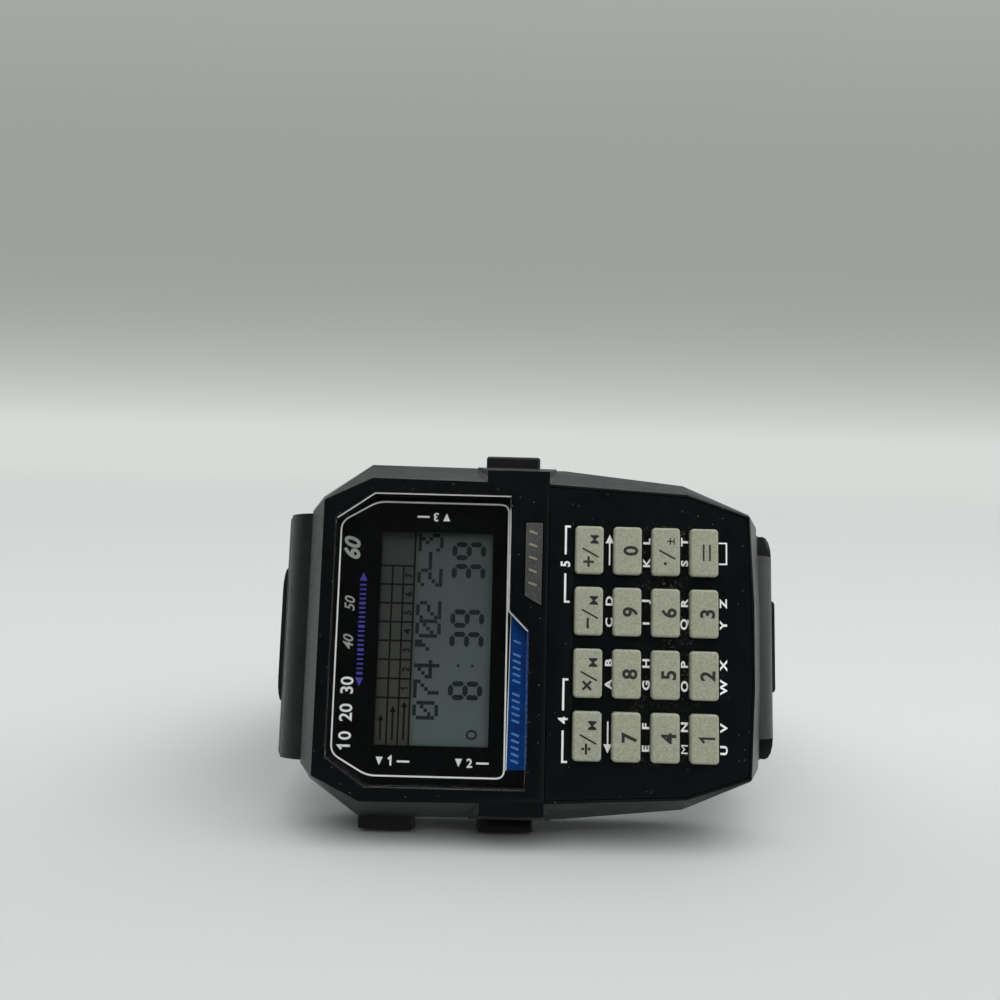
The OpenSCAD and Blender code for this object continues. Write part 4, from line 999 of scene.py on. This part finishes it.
# %% Date row of dots
DOTS = {
    "0": ["01110", "10001", "10011", "10101", "11001", "10001", "01110"],
    "2": ["01110", "10001", "00001", "00110", "01000", "10000", "11111"],
    "3": ["11111", "00010", "00100", "00010", "00001", "10001", "01110"],
    "4": ["00010", "00110", "01010", "10010", "11111", "00010", "00010"],
    "7": ["11111", "00001", "00010", "00100", "01000", "01000", "01000"],
    "'": ["00110", "00110", "00100", "01000", "00000", "00000", "00000"],
    "-": ["00000", "00000", "00000", "11111", "00000", "00000", "00000"],
}
DOT = 0.385
DOT_FILL = 0.97
DATE_TOP = -12.55
date_row = bmesh.new()
for letter, z in (("0", -8.5), ("7", -6.3), ("4", -4.25), ("'", -1.75), ("0", 0.0), ("2", 1.95),
                  ("2", 5.4), ("-", 7.2), ("3", 9.15)):
    for row, bits in enumerate(DOTS[letter]):
        for column, bit in enumerate(bits):
            if bit == "1":
                x = DATE_TOP + row * DOT
                at = z + column * DOT
                plate(date_row, box_outline((x, at), (x + DOT * DOT_FILL, at + DOT * DOT_FILL)), INK_Y)
finish_piece(date_row, "date_dots", segment_ink, "case", "lcd_glass", smooth=30)
print("display pieces:", ["display_face", "week_table", "time_digits", "date_dots"])

# %% [markdown]
# The keys' legends are dark ink on the caps: a digit, or an arithmetic sign with a stroke and a small
# letter or sign. They could all be one piece, but a piece rides on one body only. So each legend is a
# piece that rides on its own key and moves when the key is pressed.

# %% Legends on the keys
SIGNS = {"divide": "÷", "times": "×", "minus": "−", "plus": "+", "point": "·"}
INK_TOP = KEY_TOP - 0.006
for column, z in zip(KEYS, KEY_Z):
    for label, x in zip(column, KEY_X):
        ink = bmesh.new()
        if label in SIGNS:
            letters(ink, SIGNS[label], x - 0.1, z - 1.25, INK_TOP, 2.2, bold=0.035)
            ribbon(ink, [(x + 0.95, z - 0.75), (x - 0.75, z + 0.15)], 0.18, INK_TOP)
            small = "±" if label == "point" else "M"
            letters(ink, small, x + 0.5, z + 1.1, INK_TOP, 1.25, bold=0.012, wide=1.1)
        elif label == "equals":
            for side in (-0.3, 0.36):
                ribbon(ink, [(x + 0.2 + side, z - 0.85), (x + 0.2 + side, z + 0.85)], 0.19, INK_TOP)
        elif label == "1":
            figure_one(ink, x + 0.3, z, INK_TOP, 1.5, 0.24)
        else:
            letters(ink, label, x + 0.3, z, INK_TOP, 2.1, bold=0.06)
        finish_piece(ink, "legend_" + label, key_ink, "key_" + label, "panel_print", smooth=30)

# %% [markdown]
# The panel carries white print between the keys: the alphabet in pairs, two arrows, and two brackets that
# have a plain digit in their middle. The last row of pairs ends in an open box, the sign for a space. It
# all rides on the case and has one colour, so it is one piece.

# %% Letters and lines on the panel
panel_ink = bmesh.new()
FACE = -0.004
ALPHABET = {
    7.74: ["", "AB", "CD", ""],
    11.62: ["EF", "GH", "IJ", "KL"],
    15.6: ["MN", "OP", "QR", "ST"],
    19.65: ["UV", "WX", "YZ", ""],
}
PAIR = 1.12
for x, pairs in ALPHABET.items():
    for pair, z in zip(pairs, KEY_Z):
        for letter, side in zip(pair, (-PAIR, PAIR)):
            thick = 0.0 if letter == "M" else 0.035
            letters(panel_ink, letter, x, z + side, FACE, 1.0, bold=thick, wide=1.4)
ARROW_X = 7.72
for z, point in ((KEY_Z[0], -1), (KEY_Z[3], 1)):
    tip = z + point * 1.7
    foot = tip - point * 0.9
    plate(panel_ink, [(ARROW_X, tip), (ARROW_X - 0.44, foot), (ARROW_X + 0.44, foot)], FACE)
    ribbon(panel_ink, [(ARROW_X, foot), (ARROW_X, tip - point * 3.2)], 0.16, FACE)
BRACKET_X = 3.1
BRACKET_END = 3.6
for z0, z1, number in ((-12.2, -3.9, "4"), (4.1, 12.0, "5")):
    middle_z = (z0 + z1) / 2
    letters(panel_ink, number, BRACKET_X, middle_z, FACE, 1.35, bold=0.04)
    ribbon(panel_ink, [(BRACKET_END, z0), (BRACKET_X, z0), (BRACKET_X, middle_z - 1)], 0.22, FACE)
    ribbon(panel_ink, [(BRACKET_X, middle_z + 1), (BRACKET_X, z1), (BRACKET_END, z1)], 0.22, FACE)
space_x = max(ALPHABET)
ribbon(panel_ink, [(space_x - 0.45, KEY_Z[3] - 1.1), (space_x + 0.35, KEY_Z[3] - 1.1),
                   (space_x + 0.35, KEY_Z[3] + 1.1), (space_x - 0.45, KEY_Z[3] + 1.1)], 0.15, FACE)
finish_piece(panel_ink, "panel_letters", white_print, "case", "panel_print", smooth=30)

# %% [markdown]
# The glass is printed on its rear side too. A plain scale from 10 to 60 runs up its left edge, upright and
# white at first, then slanted and grey. The three side pushers have the numbers 1 to 3 with a pointer. All
# of it lies a hair in front of the black print, as the border line does, and one helper sets every number.

# %% Print on the glass: scale and pusher numbers
glass_ink = bmesh.new()
PRINT_Y = GLASS_BACK + 0.001
SCALE_X = -19.4
figure_one(glass_ink, SCALE_X, -11.35, PRINT_Y, 1.2, 0.24)
letters(glass_ink, "0", SCALE_X, -10.25, PRINT_Y, 1.85, bold=0.03, thickness=0.006)
for words, z in (("20", -7.9), ("30", -5.1)):
    letters(glass_ink, words, SCALE_X, z, PRINT_Y, 1.85, bold=0.03, thickness=0.006)
for words, x, z, way in (("1", -14.6, -12.72, LEVEL), ("2", -6.4, -12.72, LEVEL),
                         ("3", -10.7, 12.76, TURNED)):
    if words == "1":
        figure_one(glass_ink, x, z, PRINT_Y, 0.9, 0.2, way=way)
    else:
        letters(glass_ink, words, x, z, PRINT_Y, 1.25, way=way, bold=0.03, thickness=0.006)
    side = way[0].x
    plate(glass_ink, [(x - 1.5 * side, z + 0.42 * side), (x - 0.75 * side, z + 0.42 * side),
                      (x - 1.125 * side, z - 0.42 * side)], PRINT_Y, 0.006)
    ribbon(glass_ink, [(x + 0.7 * side, z), (x + 2.0 * side, z)], 0.2, PRINT_Y, thickness=0.006)
finish_piece(glass_ink, "glass_scale", white_print, "case", "mask_black", smooth=30)

slanted = bmesh.new()
for words, z, size, bold in (("40", -0.6, 1.5, 0.02), ("50", 3.4, 1.5, 0.02), ("60", 9.3, 2.3, 0.07)):
    letters(slanted, words, -19.5, z, PRINT_Y, size, shear=0.3, bold=bold, thickness=0.006)
finish_piece(slanted, "glass_scale_slanted", grey_print, "case", "mask_black", smooth=30)

# %% [markdown]
# Beside the scale runs a row of violet ticks between two arrow heads. Every fifth tick is wider, as on a
# ruler, so a loop over the ticks' count gives both widths.

# %% Ticks on the glass
TICK_X = -18.15
TICK_PITCH = 0.485
ticks = bmesh.new()
for z, point in ((-4.7, -1), (6.2, 1)):
    tip, foot = z + point * 0.5, z - point * 0.4
    plate(ticks, [(TICK_X, tip), (TICK_X - 0.4, foot), (TICK_X + 0.4, foot)], PRINT_Y, 0.006)
for i in range(20):
    z = -3.85 + TICK_PITCH * i
    ribbon(ticks, [(TICK_X - 0.33, z), (TICK_X + 0.33, z)], 0.28 if i % 5 == 0 else 0.17, PRINT_Y,
           thickness=0.006)
finish_piece(ticks, "glass_ticks", violet_print, "case", "mask_black", smooth=30)

# %% [markdown]
# The blue tag under the glass carries a row of pale slanted strokes, in groups of five, and a thin white
# line on its left and upper edges. They could be painted on the tag's material, but ribbons keep their
# edges sharp. Both lie just in front of the tag, so that neither flickers with it.

# %% Marks on the blue tag
TAG_Y = 1.69
STROKE_PITCH = 0.68
tag_ink = bmesh.new()
for i in range(19):
    z = -12.6 + STROKE_PITCH * i
    if i % 6 != 5:
        ribbon(tag_ink, [(-1.35, z), (-2.15, z + 0.3)], 0.22, TAG_Y - 0.012)
finish_piece(tag_ink, "tag_marks", pale_print, "case", "accent_blue", smooth=30)
tag_edge = bmesh.new()
ribbon(tag_edge, [(-2.62, -13.5), (-2.5, 2.8), (-0.75, 1.05)], 0.1, TAG_Y - 0.014)
finish_piece(tag_edge, "tag_edge_line", white_print, "case", "mask_black", smooth=30)
print("tag strokes:", sum(i % 6 != 5 for i in range(19)))

# %% [markdown]
# Five short raised strokes on the light key tell a finger where it is. A bump could fake them, but they
# catch the light on their sides, so they are shapes. They stand a little proud of the key and ride with it.

# %% Raised marks on the light key
LIGHT_KEY_TOP = -0.15
MARK_HEIGHT = 0.06
MARK_PITCH = 1.35
marks = bmesh.new()
for i in range(5):
    z = 5.7 + MARK_PITCH * i
    ribbon(marks, [(0.1, z), (-0.75, z + 0.3)], 0.26, LIGHT_KEY_TOP - MARK_HEIGHT, thickness=0.07)
finish_piece(marks, "light_key_marks", mark_grey, "light_button", "light_bar", smooth=30)
print("legends and marks are in place")

# %% [markdown]
# The table is one sheet, as in a photographer's booth: a floor that runs far back, a wide curve, and a
# wall, so there is no corner to see. Its profile is drawn once as a row of edges and extruded sideways.

# %% Table and backdrop
HALF_WIDTH = 6.0
FLOOR_START = -6.0
FLOOR_END = 2.0
RADIUS = 0.5
WALL_TOP = 3.0
sweep = bmesh.new()
profile = [(FLOOR_START, 0.0), (0.0, 0.0), (FLOOR_END, 0.0)]
for k in range(1, 13):
    angle = math.radians(90 * k / 12)
    profile.append((FLOOR_END + RADIUS * math.sin(angle), RADIUS * (1 - math.cos(angle))))
profile.append((FLOOR_END + RADIUS, WALL_TOP))
spine = [sweep.verts.new((-HALF_WIDTH, y, z)) for y, z in profile]
rail = [sweep.edges.new(pair) for pair in zip(spine, spine[1:])]
grown = bmesh.ops.extrude_edge_only(sweep, edges=rail)
moved = [g for g in grown["geom"] if isinstance(g, bmesh.types.BMVert)]
bmesh.ops.translate(sweep, verts=moved, vec=(2 * HALF_WIDTH, 0, 0))
bmesh.ops.recalc_face_normals(sweep, faces=sweep.faces)
sweep_mesh = bpy.data.meshes.new("table")
sweep.to_mesh(sweep_mesh)
sweep.free()
sweep_mesh.shade_smooth()
table_piece = bpy.data.objects.new("table", sweep_mesh)
bpy.context.scene.collection.objects.link(table_piece)
print("table sheet faces:", len(sweep_mesh.polygons))

# %% [markdown]
# The sheet is matt white paint. In front of the watch its colour is painted a little darker than under
# it, as in the photograph: a painted shade for the weaker light on the near table. A second lamp could make
# the difference, but it would throw a second shadow. So a smooth step along the sheet turns one tone into
# the other, and the sheet still takes the watch's shadow.

# %% Table paint
table_paint, tree, shader = new_finish("table paint")
shader.inputs["Roughness"].default_value = 0.75
parts = split_coordinates(tree)
# Painted shade: the first, darker tone is the near table's weaker light, painted into its colour.
table_tones_and_painted_shade = mix_colours(tree, rgb(184, 188, 186), rgb(197, 200, 199))
painted_shade_nearness = smooth_step(tree, parts, "Y", -0.06, 0.02)
join(tree, painted_shade_nearness, "Result", table_tones_and_painted_shade, "Factor")
join(tree, table_tones_and_painted_shade, "Result", shader, "Base Color")
sweep_mesh.materials.append(table_paint)
print("table reaches", round(table_piece.dimensions.y, 2), "m back")

# %% [markdown]
# Far behind the watch the sheet shows a painted gradient instead of real light, because a lamp that lit
# three metres of wall would also flood the watch. The wall is pale at the table, falls to grey along a
# cubic curve, and grows a little lighter above.

# %% Painted distance
FALL_HEIGHT = 0.54
FALL_POWER = 3
LIGHTER_ABOVE = (0.65, 1.3)
near_floor = add(tree, "ShaderNodeMapRange", From_Max=FALL_HEIGHT, To_Min=1.0, To_Max=0.0)
fall = add(tree, "ShaderNodeMath", operation="POWER")
fall.inputs[1].default_value = FALL_POWER
lower_wall = mix_colours(tree, rgb(157, 160, 157), rgb(215, 219, 216))
upper_wall = mix_colours(tree, rgb(157, 160, 157), rgb(169, 172, 169))
rising = smooth_step(tree, parts, "Z", *LIGHTER_ABOVE)
painted = add(tree, "ShaderNodeEmission")
join(tree, parts, "Z", near_floor, "Value")
join(tree, near_floor, "Result", fall, 0)
join(tree, fall, "Value", lower_wall, "Factor")
join(tree, lower_wall, "Result", upper_wall, "A")
join(tree, rising, "Result", upper_wall, "Factor")
join(tree, upper_wall, "Result", painted, "Color")
print("wall tone falls over", FALL_HEIGHT, "m")

# %% [markdown]
# Only rays that see the sheet directly, in a reflection or through glass take the painted tone, and Light
# Path tells them apart. All other rays meet the plain matt sheet, so the paint lights nothing. Near the
# watch there is no painted tone at all, so that the sheet there shows its real light and shadow.

# %% Who sees the painted distance
PAINTED_BEYOND = (0.04, 0.6)
rays = add(tree, "ShaderNodeLightPath")
seen = add(tree, "ShaderNodeMath", operation="MAXIMUM")
seen_any = add(tree, "ShaderNodeMath", operation="MAXIMUM")
share = add(tree, "ShaderNodeMath", operation="MULTIPLY")
distance = smooth_step(tree, parts, "Y", *PAINTED_BEYOND)
either = add(tree, "ShaderNodeMixShader")
join(tree, rays, "Is Camera Ray", seen, 0)
join(tree, rays, "Is Glossy Ray", seen, 1)
join(tree, seen, "Value", seen_any, 0)
join(tree, rays, "Is Transmission Ray", seen_any, 1)
join(tree, seen_any, "Value", share, 0)
join(tree, distance, "Result", share, 1)
join(tree, share, "Value", either, 0)
join(tree, shader, "BSDF", either, 1)
join(tree, painted, "Emission", either, 2)
join(tree, either, "Shader", tree.nodes["Material Output"], "Surface")
print("table paint nodes:", len(tree.nodes))

# %% [markdown]
# One large soft lamp hangs high above the table, in front of the watch, and looks down. It draws the pale
# bands on the upper bevels and the soft shadow. A small lamp would be easier to aim, but it would leave
# hard shadows and small hot spots.

# %% Lamp


def lamp(name, at, target, size, power):
    data = bpy.data.lights.new(name, "AREA")
    data.shape = "RECTANGLE"
    data.size, data.size_y = size
    data.energy = power
    made = bpy.data.objects.new(name, data)
    made.location = at
    made.rotation_euler = (Vector(target) - Vector(at)).to_track_quat("-Z", "Y").to_euler()
    bpy.context.scene.collection.objects.link(made)


lamp("ceiling lamp", at=(0.1, -0.5, 0.95), target=(0.03, -0.28, 0.0), size=(1.8, 1.25), power=11.5)

# %% [markdown]
# The rest of the room is the world's light. It is dark in front of the face, so that the black resin and
# the glass stay black, and brighter behind, above and on the right, as a room with a window is. An image
# of a room would do too, but three smooth steps are enough for soft reflections.

# %% Room
world = bpy.data.worlds.new("soft room")
bpy.context.scene.world = world
world.use_nodes = True
tree = world.node_tree
parts = split_coordinates(tree, "Generated")
behind = smooth_step(tree, parts, "Y", -0.1, 0.5, 0.012, 1.3)
above = smooth_step(tree, parts, "Z", 0.4, 1.0, 0.0, 0.6)
on_the_right = smooth_step(tree, parts, "X", 0.2, 1.0, 0.0, 1.4)
two_sides = add(tree, "ShaderNodeMath", operation="ADD")
all_sides = add(tree, "ShaderNodeMath", operation="ADD")
join(tree, behind, "Result", two_sides, 0)
join(tree, above, "Result", two_sides, 1)
join(tree, two_sides, "Value", all_sides, 0)
join(tree, on_the_right, "Result", all_sides, 1)
join(tree, all_sides, "Value", tree.nodes["Background"], "Color")
print("world nodes:", len(tree.nodes))
